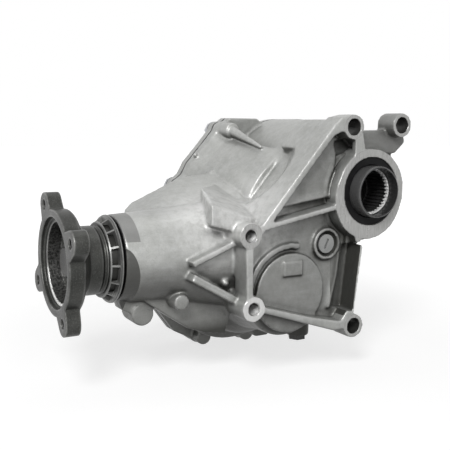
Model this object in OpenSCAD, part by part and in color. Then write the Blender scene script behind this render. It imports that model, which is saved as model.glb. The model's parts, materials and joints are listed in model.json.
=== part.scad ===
// Power transfer unit of an all-wheel-drive car: a three-shaft angle gearbox in a cast case.
// Origin: centre of the input bore on the mounting face. The mounting face looks along -Y,
// the output flange looks along -X, and +Z is up. All sizes are in millimetres.

/* [Layout] */
// Distance from the mounting face to the joint with the far-side cover
case_depth = 145; // [140:1:160]
// Distance from the mounting face to the pinion axis
pinion_y = 60; // [58:0.5:62]
// Height of the pinion axis below the input axis
pinion_drop = 51; // [49:0.5:53]
// Distance from the input axis to the output flange's face
flange_reach = 258.8; // [256:0.1:268]
// Direction from the input axis to the ring-gear axis, from +X towards +Z
ring_axis_angle = 228.3; // [227:0.1:230]

/* [Gears] */
// Module of the input gear and the driven gear
gear_module = 2; // [1.9:0.01:2.05]
// Teeth of the input gear
input_teeth = 54; // [52:1:56]
// Teeth of the driven gear
driven_teeth = 57; // [55:1:58]
// Width of the input gear and the driven gear
gear_w = 22; // [16:1:24]
// Play between meshing spur teeth at the pitch circle
backlash = 0.2; // [0.1:0.05:0.4]
// Teeth of the ring gear
ring_teeth = 31; // [29:1:33]
// Teeth of the pinion head
pinion_teeth = 12; // [11:1:13]
// Outer radius of the ring gear
ring_gear_r = 47.5; // [46:0.5:48]
// Length of a ring-gear tooth, measured along the radius
ring_face_w = 11.5; // [9:0.5:12]
// Height of a ring-gear tooth
ring_tooth_h = 4.2; // [3.6:0.1:4.6]
// Thickness of a ring-gear tooth at the middle of its length
ring_tooth_t = 2.4; // [2:0.1:2.6]
// Thickness of the ring gear behind its teeth
ring_body_t = 12; // [10:0.5:13]
// Length of the pinion head
head_len = 20; // [17:0.5:21]

/* [Input shaft] */
// Outer radius of the shaft's nose
nose_r = 21.9; // [21:0.1:23]
// How far the nose stands out of the mounting face
nose_out = 9.9; // [6:0.1:14]
// Radius of the hole through the shaft
through_r = 17; // [14:0.5:17.5]
// Inner radius of the spline teeth
spline_minor_r = 18; // [17.6:0.1:18.4]
// Outer radius of the spline gaps
spline_major_r = 19.4; // [19:0.1:19.8]
// Number of spline teeth
spline_teeth = 36; // [28:1:40]
// Length of the spline
spline_len = 26; // [18:1:30]
// Depth of the plain bore in front of the spline
spline_start = 10.5; // [8:0.5:12]

/* [Output flange] */
// Radius of the circle through the flange's bolt holes
flange_pcd_r = 47.2; // [46:0.1:50]
// Radius of a flange bolt hole
flange_hole_r = 4; // [3.4:0.1:5.2]
// End radius of a lug
lug_r = 9.8; // [8.5:0.1:11]
// Thickness of the flange plate and its lugs
lug_t = 12; // [9:0.5:14]
// Radius of the round part of the flange plate
plate_r = 41; // [39:0.5:43]
// Radius of the flange's pilot recess
pilot_r = 35.1; // [33:0.1:36]
// Depth of the pilot recess
pilot_depth = 4.5; // [3:0.5:7]
// Radius of the flange's neck
neck_r = 27; // [26:0.1:28]
// Turn of the lugs about the flange's axis
lug_turn = 63.75; // [45:0.25:90]
// Outer radius of the dust deflector
deflector_r = 34.8; // [33:0.1:36]

/* [Case] */
// Radius of the machined ring round the input bore
ring_face_r = 36; // [34:0.5:38]
// Radius of the input seal's seat
seal_r = 28.85; // [28:0.05:30]
// Depth of the pocket in the mounting side
pocket_depth = 14; // [10:1:15]
// Depth of the pocket's upper ledge
ledge_depth = 10; // [8:0.5:12]
// Width of the mounting rim
rim_w = 6; // [4:0.5:7]
// Radius of the snout at its mouth
snout_r = 34.8; // [34.6:0.1:37]
// Wall between a gear and the outside
wall = 3.8; // [3.4:0.1:5]
// Radius of a clearance hole for a mounting bolt
mount_hole_r = 6.75; // [6:0.05:7]
// Radius of a tapped mounting hole
mount_tap_r = 5.1; // [4.2:0.1:5.5]
// Radius of a mounting boss
mount_boss_r = 10.4; // [10:0.1:12]
// Thickness of the flange where the cover is bolted on
cover_rim_t = 10; // [8:0.5:12]

/* [Fasteners] */
// Radius of a cover bolt's shank
bolt_r = 4; // [3:0.5:4]
// Radius of the fill plug's head
plug_r = 8; // [7:0.5:9]

/* [Clearances] */
// Radial running clearance of a seal lip and of a roller
running = 0.05; // [0.02:0.01:0.08]
// Clearance between a turning piece and the case
free_gap = 1.2; // [0.8:0.1:1.6]

/* [Hidden] */
$fn = 72;
over = 1;
// Room between the spur gears and the cover's floor
gear_gap = 3;

// Places of the shafts, as [X, Z]
input_axis = [0, 0];
centre_distance = gear_module * (input_teeth + driven_teeth) / 2;
ring_axis = centre_distance * [cos(ring_axis_angle), sin(ring_axis_angle)];
pinion_z = -pinion_drop;
flange_x = -flange_reach;

// Taper roller bearings, as [bore, outside diameter, width]
input_bearing = [50, 80, 20];
ring_front_bearing = [30, 62, 17];
ring_rear_bearing = [35, 72, 18];
head_bearing = [35, 72, 18];
tail_bearing = [30, 62, 17];

// Hypoid pair: the pinion touches the ring gear's flat side on the far side of its own axis
hypoid_offset = pinion_z - ring_axis[1];
ring_mean_r = ring_gear_r - ring_face_w / 2;
mesh_dx = sqrt(pow(ring_mean_r, 2) - pow(hypoid_offset, 2));
head_pitch_r = pow(ring_mean_r, 2) * pinion_teeth / (ring_teeth * mesh_dx);
head_tip_r = head_pitch_r + ring_tooth_h * 0.45;
head_root_r = head_tip_r - ring_tooth_h;
head_x = ring_axis[0] - mesh_dx - head_len / 2;
head_twist = hypoid_offset / mesh_dx / head_pitch_r * 180 / PI;
ring_tip_y = pinion_y + head_root_r + 0.5;
ring_back_y = ring_tip_y + ring_tooth_h + ring_body_t;
carrier_t = 8;
gear_y = ring_back_y + carrier_t + 7;

// Stations along Y
front_seat_y = 22;
cover_floor_y = max(case_depth, gear_y + gear_w + gear_gap);
rear_seat_y = cover_floor_y + 16;
ring_front_y = pocket_depth;
ring_rear_y = cover_floor_y + 15;

// Stations along X of the pinion
head_seat_x = ring_axis[0] - ring_gear_r - free_gap - head_bearing[2];
hub_len = 35.8;
hub_r = 22;
nut_t = 12;
cup_floor = 24;
tail_back_x = flange_x + cup_floor + hub_len;
tail_seat_x = tail_back_x + tail_bearing[2];
seal_room = 13.5;
snout_x = tail_back_x - seal_room;
deflector_w = 9;
deflector_x = snout_x - 2.3 - deflector_w;
cup_r = plate_r - 10;

// Helpers that put round and extruded shapes along Y or X

module along_y(y0, y1) {
    translate([0, y1, 0]) rotate([90, 0, 0]) linear_extrude(y1 - y0) children();
}

module y_cyl(at, y0, y1, r, r_end = undef) {
    translate([at[0], y0, at[1]]) rotate([-90, 0, 0])
        cylinder(h = y1 - y0, r1 = r, r2 = is_undef(r_end) ? r : r_end);
}

module x_cyl(x0, x1, r, r_end = undef) {
    translate([x0, pinion_y, pinion_z]) rotate([0, 90, 0])
        cylinder(h = x1 - x0, r1 = r, r2 = is_undef(r_end) ? r : r_end);
}

// Turned shape from [radius, station] points, about the Y line through a place
module y_turn(at, points) {
    translate([at[0], 0, at[1]]) rotate([-90, 0, 0]) rotate_extrude() polygon(points);
}

// Turned shape from [radius, station] points, about the pinion axis
module x_turn(points) {
    translate([0, pinion_y, pinion_z]) rotate([0, 90, 0]) rotate_extrude() polygon(points);
}

// Puts a bearing's own frame, seat at 0 and large end up, on a Y axis
module seat_y(at, y, inward) {
    translate([at[0], y, at[1]]) rotate([inward > 0 ? -90 : 90, 0, 0]) children();
}

module seat_x(x, inward) {
    translate([x, pinion_y, pinion_z]) rotate([0, inward > 0 ? 90 : -90, 0]) children();
}

// Taper roller bearing: rollers tilt by roller_tilt and taper by roller_taper on each side
roller_tilt = 12;
roller_taper = 2;
function roller_r(b) = 0.112 * (b[1] - b[0]);
function roller_mid_r(b) = (b[0] + b[1]) / 4;
function cone_w(b) = 0.94 * b[2];
function cup_w(b) = 0.79 * b[2];
function roller_from(b) = b[2] - cone_w(b) + 2;
function roller_to(b) = b[2] - 3.2;
function roller_mid(b) = (roller_from(b) + roller_to(b)) / 2;
function roller_count(b) = floor(PI * roller_mid_r(b) / (roller_r(b) * 1.22));

// Radius of the outer or inner race at a station, with the rollers' clearance
function race_r(b, z, side, gap) =
    roller_mid_r(b) + side * (roller_r(b) + gap) * cos(roller_tilt)
    + (z - roller_mid(b) + side * roller_r(b) * sin(roller_tilt))
      * tan(roller_tilt + side * roller_taper);

module bearing_cup(b) {
    rotate_extrude() polygon([
        [race_r(b, 0, 1, running), 0],
        [b[1] / 2, 0],
        [b[1] / 2, cup_w(b)],
        [race_r(b, cup_w(b), 1, running), cup_w(b)]
    ]);
}

module bearing_cone(b) {
    z0 = b[2] - cone_w(b);
    lip = 1.6;
    rib_z = roller_to(b) + 1.1;
    gap = running / 2;
    rotate_extrude() polygon([
        [b[0] / 2, z0],
        [race_r(b, z0, -1, gap) + 1, z0],
        [race_r(b, z0, -1, gap) + 1, z0 + lip],
        [race_r(b, z0 + lip, -1, gap), z0 + lip],
        [race_r(b, rib_z, -1, gap), rib_z],
        [race_r(b, rib_z, -1, gap) + 2.2, rib_z],
        [race_r(b, rib_z, -1, gap) + 2.6, b[2]],
        [b[0] / 2, b[2]]
    ]);
}

module bearing_rollers(b) {
    len = (roller_to(b) - roller_from(b)) / cos(roller_tilt);
    spread = len / 2 * tan(roller_taper);
    for (i = [0 : roller_count(b) - 1])
        rotate([0, 0, i * 360 / roller_count(b)])
            translate([roller_mid_r(b), 0, roller_mid(b)]) rotate([0, roller_tilt, 0])
                translate([0, 0, -len / 2])
                    cylinder(h = len, r1 = roller_r(b) - spread, r2 = roller_r(b) + spread);
}

// Involute spur gear outline
function involute(a) = tan(a) * 180 / PI - a;
function half_angle(z, r) =
    90 / z - backlash / 4 / (gear_module * z / 2) * 180 / PI
    + involute(20) - involute(acos(min(1, gear_module * z / 2 * cos(20) / r)));
module spur_outline(z) {
    pitch_r = gear_module * z / 2;
    root_r = pitch_r - 1.25 * gear_module;
    start_r = max(root_r, pitch_r * cos(20) + 0.01);
    tip_r = pitch_r + gear_module;
    steps = 3;
    flank = [root_r, for (i = [0 : steps]) start_r + (tip_r - start_r) * i / steps];
    polygon([for (t = [0 : z - 1]) each concat(
        [for (r = flank) let (a = t * 360 / z - half_angle(z, max(r, start_r))) r * [cos(a), sin(a)]],
        [for (i = [len(flank) - 1 : -1 : 0]) let (r = flank[i])
            let (a = t * 360 / z + half_angle(z, max(r, start_r))) r * [cos(a), sin(a)]]
    )]);
}

// Outline with straight-sided teeth, for splines and the pinion head
module toothed_outline(z, inner_r, outer_r, root_share, tip_share) {
    step = 360 / z;
    polygon([for (t = [0 : z - 1]) each [
        inner_r * [cos((t - root_share / 2) * step), sin((t - root_share / 2) * step)],
        outer_r * [cos((t - tip_share / 2) * step), sin((t - tip_share / 2) * step)],
        outer_r * [cos((t + tip_share / 2) * step), sin((t + tip_share / 2) * step)],
        inner_r * [cos((t + root_share / 2) * step), sin((t + root_share / 2) * step)]
    ]]);
}

// Case

mount_a = [-21, 54];
mount_b = [31.5, 56];
mount_c = [-119.5, -31];
mount_d = [-115.8, -89.8];
mount_e = [-14.2, -116];
mount_through = [mount_a, mount_b, mount_e];
mount_tapped = [mount_c, mount_d];
mount_boss_len = 21;
tap_depth = 24;
plug_at = [-37.6, -44.2];
plug_ring_r = 13.8;
chamber_input_r = gear_module * (input_teeth / 2 + 1) + free_gap;
chamber_driven_r = gear_module * (driven_teeth / 2 + 1) + free_gap;
case_top = chamber_input_r + wall;
front_t = 20;
upper_block_t = 56;
rim_y0 = case_depth - cover_rim_t;
chamber_y = gear_y - 3;
ring_boss_r = 33.5;
input_boss_r = input_bearing[1] / 2 + 4.5;
head_wall_r = head_bearing[1] / 2 + wall + 0.4;
ring_pad_at = [-2, -5];
ring_pad_r = 36.2;
boss_face_r = 38;
arm_y = 12;
blind_boss_len = 12;

// The diagonal wall of the mounting side, by its direction and its distance from the input axis
diagonal_angle = 139.3;
diagonal_off = 67.8;
diagonal_out = [cos(diagonal_angle), sin(diagonal_angle)];
diagonal_along = [-sin(diagonal_angle), cos(diagonal_angle)];
function on_diagonal(t) = diagonal_off * diagonal_out + t * diagonal_along;

cover_boss_r = 8.5;
cover_bolt_at = [
    [-68, 49], [-112, -4], [-139, -48], [-143, -98], [-94, -148], [-46, -150],
    [-9, -112], [24, -66], [62, -30], [66, 14], [46, 46]
];
dowel_r = 3;
dowel_half = 6;
dowel_at = [[-92, 18], [2, -86]];
drain_at = [-41, 46];
drain_z = -131;
drain_plug_r = 6;
breather_at = [30, 122];

// Outline of the mounting side
module mount_outline() {
    polygon([
        [-13, 61], [-22, 64.4], [-34, 62], on_diagonal(-15), on_diagonal(90),
        mount_c + [-2, 10], mount_c + [-5, 0], mount_d + [-6, 0], mount_d + [7, -3.5],
        [-60.8, -109.2], mount_e + [-20, -2], mount_e, mount_e + [0, 10],
        [-13.8, -100], [-7, -48], [-12, -34], [10, -30], [20, 30], [-13, 34]
    ]);
}

module pocket_outline() {
    difference() {
        polygon([
            [-19, 33], [-19, 46], [-33, 50], on_diagonal(-8) - rim_w * diagonal_out,
            on_diagonal(82) - rim_w * diagonal_out, mount_c + [2.6, -8], mount_d + [-1.1, 12],
            mount_d + [6, 2], [-61.1, -102.4], mount_e + [-14, 6], [-20, -100],
            [-13.4, -45], [-22, -24]
        ]);
        circle(r = ring_face_r);
        translate(ring_pad_at) circle(r = ring_pad_r);
        for (p = [mount_a, mount_c, mount_d, mount_e]) translate(p) circle(r = mount_boss_r);
    }
}

module strip(p, q, w) {
    v = (q - p) / norm(q - p);
    n = w / 2 * [-v[1], v[0]];
    polygon([p + n, p - n, q - n, q + n]);
}

// Raised lip round the upper left of the ring shaft's boss, across a narrow groove
module lip_arc() {
    intersection() {
        translate(ring_axis) difference() {
            circle(r = ring_boss_r + 8.5);
            circle(r = ring_boss_r + 3.5);
        }
        polygon([ring_axis, [-125, -88], [-125, -30], [-64, -30], [-68, -60]]);
    }
}

// Pocket in the mounting side, less what stands on its floor
module pocket() {
    difference() {
        along_y(-over, pocket_depth) pocket_outline();
        along_y(ledge_depth, pocket_depth + over) {
            polygon([
                [-97, -10], [-36, -2], [-36.4, 9.8], [-31.6, 22.3], [-30, 44],
                on_diagonal(-12), on_diagonal(80)
            ]);
            translate(ring_axis) circle(r = ring_boss_r);
            translate(plug_at) circle(r = plug_ring_r);
            lip_arc();
        }
        along_y(ledge_depth - 2, pocket_depth + over) translate([-73.4, -62]) square([19, 12], center = true);
        along_y(-2 * over, pocket_depth + over) strip([-115, -27], [-30, -11], 4.5);
    }
}

// Outline of the joint between case and cover
module joint_outline() {
    circle(r = case_top);
    translate(ring_axis) circle(r = chamber_driven_r + wall);
    polygon([
        [-31, 61], [-62, 61], [-77, 49], [-88, 36], [-103.5, 19], [-109.5, 8], [-119, 0], [-146, -44],
        [-151, -98], [-137, -119], [-120, -142], [-103, -151], [-86, -150], [-66, -148.5], [-54, -150],
        [-38, -152], [-5, -120], [32, -70],
        [68, -36], [73, 14], [54, 50], [0, 40]
    ]);
    for (p = cover_bolt_at) translate(p) circle(r = cover_boss_r);
}

// Cross-section between the two gear axes, wide enough for a barrel round each
module waist(r_in, r_ring) {
    v = ring_axis / norm(ring_axis);
    n = [-v[1], v[0]];
    polygon([r_in * n, -r_in * n, ring_axis - r_ring * n, ring_axis + r_ring * n]);
}

// Dome over the ring gear: a cone whose flank leans out towards the joint
dome_axis = [-19.5, -36];
dome_r0 = 66.4;
dome_y0 = 35;
dome_slope = 0.3;
flare_y = case_depth - 24;
function dome_r(y) = dome_r0 + (y - dome_y0) * dome_slope;
module dome() {
    intersection() {
        union() {
            y_cyl(dome_axis, dome_y0 - 15, case_depth, dome_r(dome_y0 - 15), dome_r(case_depth));
            y_cyl(dome_axis, flare_y, rim_y0 + over, dome_r(flare_y) - 0.2, dome_r(rim_y0) + 4);
        }
        along_y(dome_y0 - 15, case_depth) polygon([
            [-20, 20], [-52, 34], [-64, 40], [-79, 50], [-130, 50], [-140, -40], [-120, -70], [-20, -40]
        ]);
    }
}

// Round top of the case, from the mounting side to the joint
module barrel() {
    intersection() {
        y_cyl(input_axis, front_t, case_depth, case_top);
        along_y(front_t - over, case_depth + over) polygon([[0, 0], [-58, 36.4], [-60, 75], [-7, 75]]);
    }
}

// Shallow scoop in the diagonal wall, where it runs out into the dome
scoop_t = 35.7;
scoop_y = 68.3;
scoop_r = 45.7;
scoop_floor_r = 30;
scoop_depth = 9;
scoop_end_t = 10.5;
module scoop() {
    at = on_diagonal(scoop_t);
    flank = (scoop_r - scoop_floor_r) / scoop_depth;
    side = 20 * diagonal_out;
    intersection() {
        translate([at[0], scoop_y, at[1]]) rotate([0, 90 - diagonal_angle, 0])
            translate([0, 0, -scoop_depth])
                cylinder(h = scoop_depth + over, r1 = scoop_floor_r, r2 = scoop_r + over * flank);
        along_y(0, upper_block_t + 2) polygon([
            on_diagonal(scoop_end_t) - side, on_diagonal(scoop_end_t) + side,
            on_diagonal(90) + side, on_diagonal(90) - side
        ]);
    }
}

// All that lies under a plane with these slopes along X and Y
module under_slope(at, slope_x, slope_y) {
    turn = atan(slope_x);
    translate(at) rotate([atan(slope_y * cos(turn)), -turn, 0])
        translate([-150, -150, -300]) cube(300);
}

// Extruded along Z between two heights
module along_z(z0, z1) {
    translate([0, 0, z0]) linear_extrude(z1 - z0) children();
}

module case_body() {
    along_y(0, front_t) mount_outline();
    difference() {
        along_y(0, upper_block_t) polygon([
            [-13, 58], [-22, 60], [-34, 60], on_diagonal(-13), on_diagonal(88),
            [-116, -44], [-60, -60], [0, 0]
        ]);
        scoop();
    }
    difference() {
        dome();
        scoop();
    }
    barrel();
    y_cyl(input_axis, 0, front_t, ring_face_r);
    y_cyl(ring_pad_at, 0, front_t, ring_pad_r);
    y_turn(input_axis, [
        [0, pocket_depth], [input_boss_r, pocket_depth], [input_boss_r, 52], [input_boss_r - 2, 60],
        [input_boss_r - 2, chamber_y - 16], [case_top, chamber_y - wall], [case_top, case_depth],
        [0, case_depth]
    ]);
    y_turn(ring_axis, [
        [0, ledge_depth], [ring_boss_r, ledge_depth], [ring_boss_r, 18], [boss_face_r, 18],
        [boss_face_r + 1, 40], [boss_face_r + 4, 60],
        [ring_gear_r + free_gap + 2, ring_tip_y - 6], [ring_gear_r + free_gap + wall, ring_tip_y],
        [ring_gear_r + free_gap + wall, chamber_y - 12], [chamber_driven_r + wall, chamber_y - wall],
        [chamber_driven_r + wall, case_depth], [0, case_depth]
    ]);
    along_y(front_t - over, chamber_y) waist(input_boss_r - 8, ring_boss_r - 4);
    along_y(chamber_y - wall + 2, case_depth - over) waist(case_top - 2, chamber_driven_r + wall - 2);
    along_y(rim_y0, case_depth) joint_outline();
    snout();
    for (p = mount_through) y_cyl(p, 0, mount_boss_len, mount_boss_r);
    for (p = mount_tapped) y_cyl(p, 0, mount_boss_len + 9, mount_boss_r);
    along_y(ledge_depth, mount_boss_len) polygon([
        [-20, 51], [22, 51.8], [31, 60], [41, 58], [44.7, 41.5], [34.7, 31.8], [0, 30]
    ]);
    // Blind bosses of the cover bolts
    for (p = cover_bolt_at) y_cyl(p, rim_y0 - blind_boss_len, rim_y0 + over, cover_boss_r - 1);
    y_cyl(cover_bolt_at[0], 119, rim_y0 + over, 7.4);
    // Rib that runs out of the uppermost blind boss along the dome
    hull() {
        y_cyl(cover_bolt_at[0] + [0, -1], 117, 120, 4.5);
        y_cyl([-61.5, 35], 79, 80, 1.6);
    }
    // Boss of the drain plug, and the lug beside it
    translate([drain_at[0], drain_at[1], drain_z]) cylinder(h = 34, r = drain_plug_r + 4.5);
    along_y(92, 106) polygon([[-60, -132], [-55.6, -144.7], [-41.8, -144.5], [-34, -128]]);
}

// Snout that carries the pinion, with the webs that tie it to the mounting side
snout_mid_x = -170;
module snout() {
    head_wall_x = head_seat_x - 1;
    x_cyl(snout_x, snout_mid_x, snout_r, snout_r + 2.5);
    x_cyl(snout_mid_x, head_wall_x, snout_r + 2.5, head_wall_r);
    x_cyl(head_wall_x, -88, head_wall_r, head_wall_r + 3);
    // Shoulder between snout, dome and diagonal wall; its front is the arm to the upper tapped boss
    intersection() {
        along_y(arm_y, 98) polygon([
            [-152, 12], [-90, 12], [-90, -36], [-112, -38], [-124, -31.5], [-130, -28.5], [-151.5, -22.5]
        ]);
        along_z(-60, 20) polygon([
            [-149, arm_y - over], [-133, 60], [-94, 99], [-89, 99], [-96, 60], [-101, 20],
            [-111, arm_y - over]
        ]);
        under_slope([-140.3, 20, -7.1], -0.31, 0.2975);
    }
    // Web on the far side of the snout's top, and on to the joint
    intersection() {
        along_y(60, 113) polygon([[-188, -38], [-188, 20], [-90, 20], [-90, -50], [-160, -50]]);
        along_z(-60, 30) polygon([
            [-187, 59], [-185, 99], [-176, 107], [-115, 112], [-88, 110], [-91, 59]
        ]);
        under_slope([-161, 100, -7.2], 0.416, 0.1);
        under_slope([-143, 58, -16.2], 0.16, 0.39);
    }
    hull() {
        along_y(99, 100) polygon([
            [-178, -20], [-161, -7.5], [-143, -0.5], [-112, 5], [-104, -4], [-104, -50], [-160, -50]
        ]);
        along_y(133, 134) polygon([[-146, -44], [-119, -0.5], [-104, -4], [-104, -60], [-148, -60]]);
    }
    // Shelf to the upper tapped boss
    along_y(arm_y, pinion_y) strip([-118, -34.6], [-163.5, -52.4], 5);
    // Grooved rib to the lower tapped boss
    difference() {
        along_y(arm_y, pinion_y) strip([-116, -89.5], [-163.5, -62.4], 6.4);
        along_y(arm_y - over, arm_y + 3) strip([-112, -91.8], [-170, -58.7], 1.6);
    }
    // Web under the rib
    intersection() {
        x_cyl(snout_mid_x, -88, snout_r + 2.5, 54);
        along_y(18, 108) polygon([
            [-169, -60], [-163, -64], [-118, -89.5], [-88, -100], [-88, -112], [-169, -112]
        ]);
    }
    // Cast studs between shelf and rib
    y_cyl([-129.5, -71.5], 22.5, 30, 2.9);
    y_cyl([-120, -81], 27.5, 38, 2.5);
    // Low bosses under the snout
    y_cyl([-189, -97], 50, 74, 9.4);
    y_cyl([-151, -93], 52, 80, 7.7);
    translate([-189 - 4, 56, -97]) cube([8, 14, 20]);
}

module case_hollows() {
    // Gear chambers, open towards the cover
    y_cyl(input_axis, chamber_y, case_depth + over, chamber_input_r);
    y_cyl(ring_axis, chamber_y, case_depth + over, chamber_driven_r);
    y_cyl(ring_axis, ring_tip_y - 2, case_depth + over, ring_gear_r + free_gap);
    // Input shaft
    y_cyl(input_axis, -over, 11, seal_r);
    y_cyl(input_axis, -over, front_seat_y + over, nose_r + 3);
    y_cyl(input_axis, front_seat_y, 50, input_bearing[1] / 2);
    y_cyl(input_axis, 49, chamber_y + over, input_bearing[1] / 2 - 4);
    // Ring-gear shaft
    y_cyl(ring_axis, ring_front_y, 38, ring_front_bearing[1] / 2);
    y_cyl(ring_axis, 37, ring_tip_y, 28);
    // Pinion, from the snout's mouth to its head
    x_cyl(snout_x - over, tail_back_x - 2, 32);
    x_cyl(tail_back_x - 3, tail_seat_x, tail_bearing[1] / 2);
    x_cyl(tail_seat_x - over, head_seat_x + over, 27);
    x_cyl(head_seat_x, head_x + head_len + free_gap, head_bearing[1] / 2);
}

module main_case() color([0.74, 0.75, 0.75]) {
    difference() {
        case_body();
        pocket();
        case_hollows();
        for (p = mount_through) y_cyl(p, -over, mount_boss_len + 2, mount_hole_r);
        for (p = mount_through) y_cyl(p, mount_boss_len, upper_block_t + over, mount_boss_r - 0.4);
        for (p = mount_tapped) y_cyl(p, -over, tap_depth, mount_tap_r);
        for (p = cover_bolt_at) y_cyl(p, rim_y0 - 5, case_depth + over, bolt_r);
        for (p = dowel_at) y_cyl(p, case_depth - dowel_half, case_depth + over, dowel_r);
        y_cyl(plug_at, -over, pocket_depth + 6, plug_r);
        y_cyl(plug_at, pocket_depth + 5, 40, plug_r - 2.5);
        translate([drain_at[0], drain_at[1], drain_z - over]) cylinder(h = 14, r = drain_plug_r);
        translate([breather_at[0], breather_at[1], 40]) cylinder(h = 30, r = 3);
        translate([drain_at[0], drain_at[1], drain_z]) cylinder(h = 50, r = drain_plug_r - 2);
    }
}

// Room of the spur gears, grown by a wall
module gear_room(grow) {
    circle(r = chamber_input_r + grow);
    translate(ring_axis) circle(r = chamber_driven_r + grow);
}

// Cover on the far side
cover_back = rear_seat_y + 14;
cover_rib_h = 3;
cover_rib_to = [[-98, -8], [-127, -51], [-131, -93], [14, -60], [-14, -100], [50, -26]];
module rear_cover() color([0.70, 0.71, 0.71]) {
    difference() {
        union() {
            along_y(case_depth, case_depth + cover_rim_t) joint_outline();
            along_y(case_depth + 1, cover_floor_y + cover_rim_t - 1) gear_room(wall - 0.5);
            for (p = cover_rib_to)
                along_y(case_depth + over, cover_floor_y + cover_rim_t + cover_rib_h)
                    strip(p, ring_axis / 2, 4);
            y_cyl(input_axis, case_depth, rear_seat_y + 5,
                input_bearing[1] / 2 + 9, input_bearing[1] / 2 + 6);
            y_cyl(input_axis, rear_seat_y - over, cover_back, ring_face_r - 1);
            y_cyl(ring_axis, case_depth, ring_rear_y + 5,
                ring_rear_bearing[1] / 2 + 8, ring_rear_bearing[1] / 2 + 4);
        }
        if (cover_floor_y > case_depth) along_y(case_depth - over, cover_floor_y) gear_room(0);
        y_cyl(input_axis, case_depth - over, rear_seat_y, input_bearing[1] / 2);
        y_cyl(input_axis, case_depth - over, cover_back + over, nose_r + 3);
        y_cyl(input_axis, rear_seat_y + 5, cover_back + over, seal_r);
        y_cyl(ring_axis, case_depth - over, ring_rear_y, ring_rear_bearing[1] / 2);
        for (p = cover_bolt_at) y_cyl(p, case_depth - over, case_depth + cover_rim_t + over, bolt_r);
        for (p = dowel_at) y_cyl(p, case_depth - over, case_depth + dowel_half, dowel_r);
    }
}

module cover_bolts() color([0.55, 0.56, 0.58])
    for (p = cover_bolt_at) {
        y_cyl(p, rim_y0 - 4, case_depth + cover_rim_t + over, bolt_r);
        y_cyl(p, case_depth + cover_rim_t, case_depth + cover_rim_t + 1.5, bolt_r * 2.1);
        translate([p[0], case_depth + cover_rim_t + 7, p[1]]) rotate([90, 0, 0])
            cylinder(h = 6, r = bolt_r * 1.85, $fn = 6);
    }

module locating_dowels() color([0.6, 0.61, 0.63])
    for (p = dowel_at) y_cyl(p, case_depth - dowel_half, case_depth + dowel_half, dowel_r);

module fill_plug() color([0.55, 0.56, 0.56])
    difference() {
        union() {
            y_cyl(plug_at, ledge_depth + 1.5, pocket_depth + 6, plug_r);
            y_cyl(plug_at, pocket_depth + 5, pocket_depth + 10, plug_r - 2.5);
        }
        translate([plug_at[0], ledge_depth + 1, plug_at[1]]) rotate([0, 25, 0])
            cube([2, 4, 9], center = true);
    }

module drain_plug() color([0.55, 0.56, 0.56])
    translate([drain_at[0], drain_at[1], drain_z]) {
        translate([0, 0, -over]) cylinder(h = 12, r = drain_plug_r);
        translate([0, 0, -4]) cylinder(h = 4, r = drain_plug_r + 2, $fn = 6);
    }

module breather() color([0.2, 0.2, 0.2]) {
    translate([breather_at[0], breather_at[1], 49.5]) cylinder(h = 8, r = 3);
    translate([breather_at[0], breather_at[1], 56]) cylinder(h = 4, r = 5);
}

// Seals
module lip_seal(at, y, len, shaft_r, seat_r) {
    y_turn(at, [
        [seat_r, y], [seat_r, y + len], [seat_r - 2, y + len], [seat_r - 2, y + 2],
        [shaft_r + 1.8, y + 2], [shaft_r + running, y + len * 0.55], [shaft_r + 0.9, y]
    ]);
}

module input_seal() color([0.08, 0.08, 0.08]) lip_seal(input_axis, 1.5, 9, nose_r, seal_r);

module rear_shaft_seal() color([0.08, 0.08, 0.08])
    lip_seal(input_axis, rear_seat_y + 5, 9, nose_r, seal_r);

module pinion_seal() color([0.08, 0.08, 0.08])
    x_turn([
        [32, snout_x + 0.5], [32, snout_x + 9.5], [30, snout_x + 9.5], [30, snout_x + 2.5],
        [hub_r + 1.8, snout_x + 2.5], [hub_r + running, snout_x + 5.5], [hub_r + 0.9, snout_x + 0.5]
    ]);

// Bearings

module input_front_cup() color([0.6, 0.61, 0.62]) seat_y(input_axis, front_seat_y, 1) bearing_cup(input_bearing);
module input_rear_cup() color([0.6, 0.61, 0.62]) seat_y(input_axis, rear_seat_y, -1) bearing_cup(input_bearing);
module input_front_cone() color([0.66, 0.67, 0.68]) seat_y(input_axis, front_seat_y, 1) bearing_cone(input_bearing);
module input_rear_cone() color([0.66, 0.67, 0.68]) seat_y(input_axis, rear_seat_y, -1) bearing_cone(input_bearing);
module input_rollers() color([0.75, 0.76, 0.77]) {
    seat_y(input_axis, front_seat_y, 1) bearing_rollers(input_bearing);
    seat_y(input_axis, rear_seat_y, -1) bearing_rollers(input_bearing);
}
module ring_shaft_front_cup() color([0.6, 0.61, 0.62]) seat_y(ring_axis, ring_front_y, 1) bearing_cup(ring_front_bearing);
module ring_shaft_rear_cup() color([0.6, 0.61, 0.62]) seat_y(ring_axis, ring_rear_y, -1) bearing_cup(ring_rear_bearing);
module ring_shaft_front_cone() color([0.66, 0.67, 0.68]) seat_y(ring_axis, ring_front_y, 1) bearing_cone(ring_front_bearing);
module ring_shaft_rear_cone() color([0.66, 0.67, 0.68]) seat_y(ring_axis, ring_rear_y, -1) bearing_cone(ring_rear_bearing);
module ring_shaft_rollers() color([0.75, 0.76, 0.77]) {
    seat_y(ring_axis, ring_front_y, 1) bearing_rollers(ring_front_bearing);
    seat_y(ring_axis, ring_rear_y, -1) bearing_rollers(ring_rear_bearing);
}
module pinion_head_cup() color([0.6, 0.61, 0.62]) seat_x(head_seat_x, 1) bearing_cup(head_bearing);
module pinion_tail_cup() color([0.6, 0.61, 0.62]) seat_x(tail_seat_x, -1) bearing_cup(tail_bearing);
module pinion_head_cone() color([0.66, 0.67, 0.68]) seat_x(head_seat_x, 1) bearing_cone(head_bearing);
module pinion_tail_cone() color([0.66, 0.67, 0.68]) seat_x(tail_seat_x, -1) bearing_cone(tail_bearing);
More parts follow.
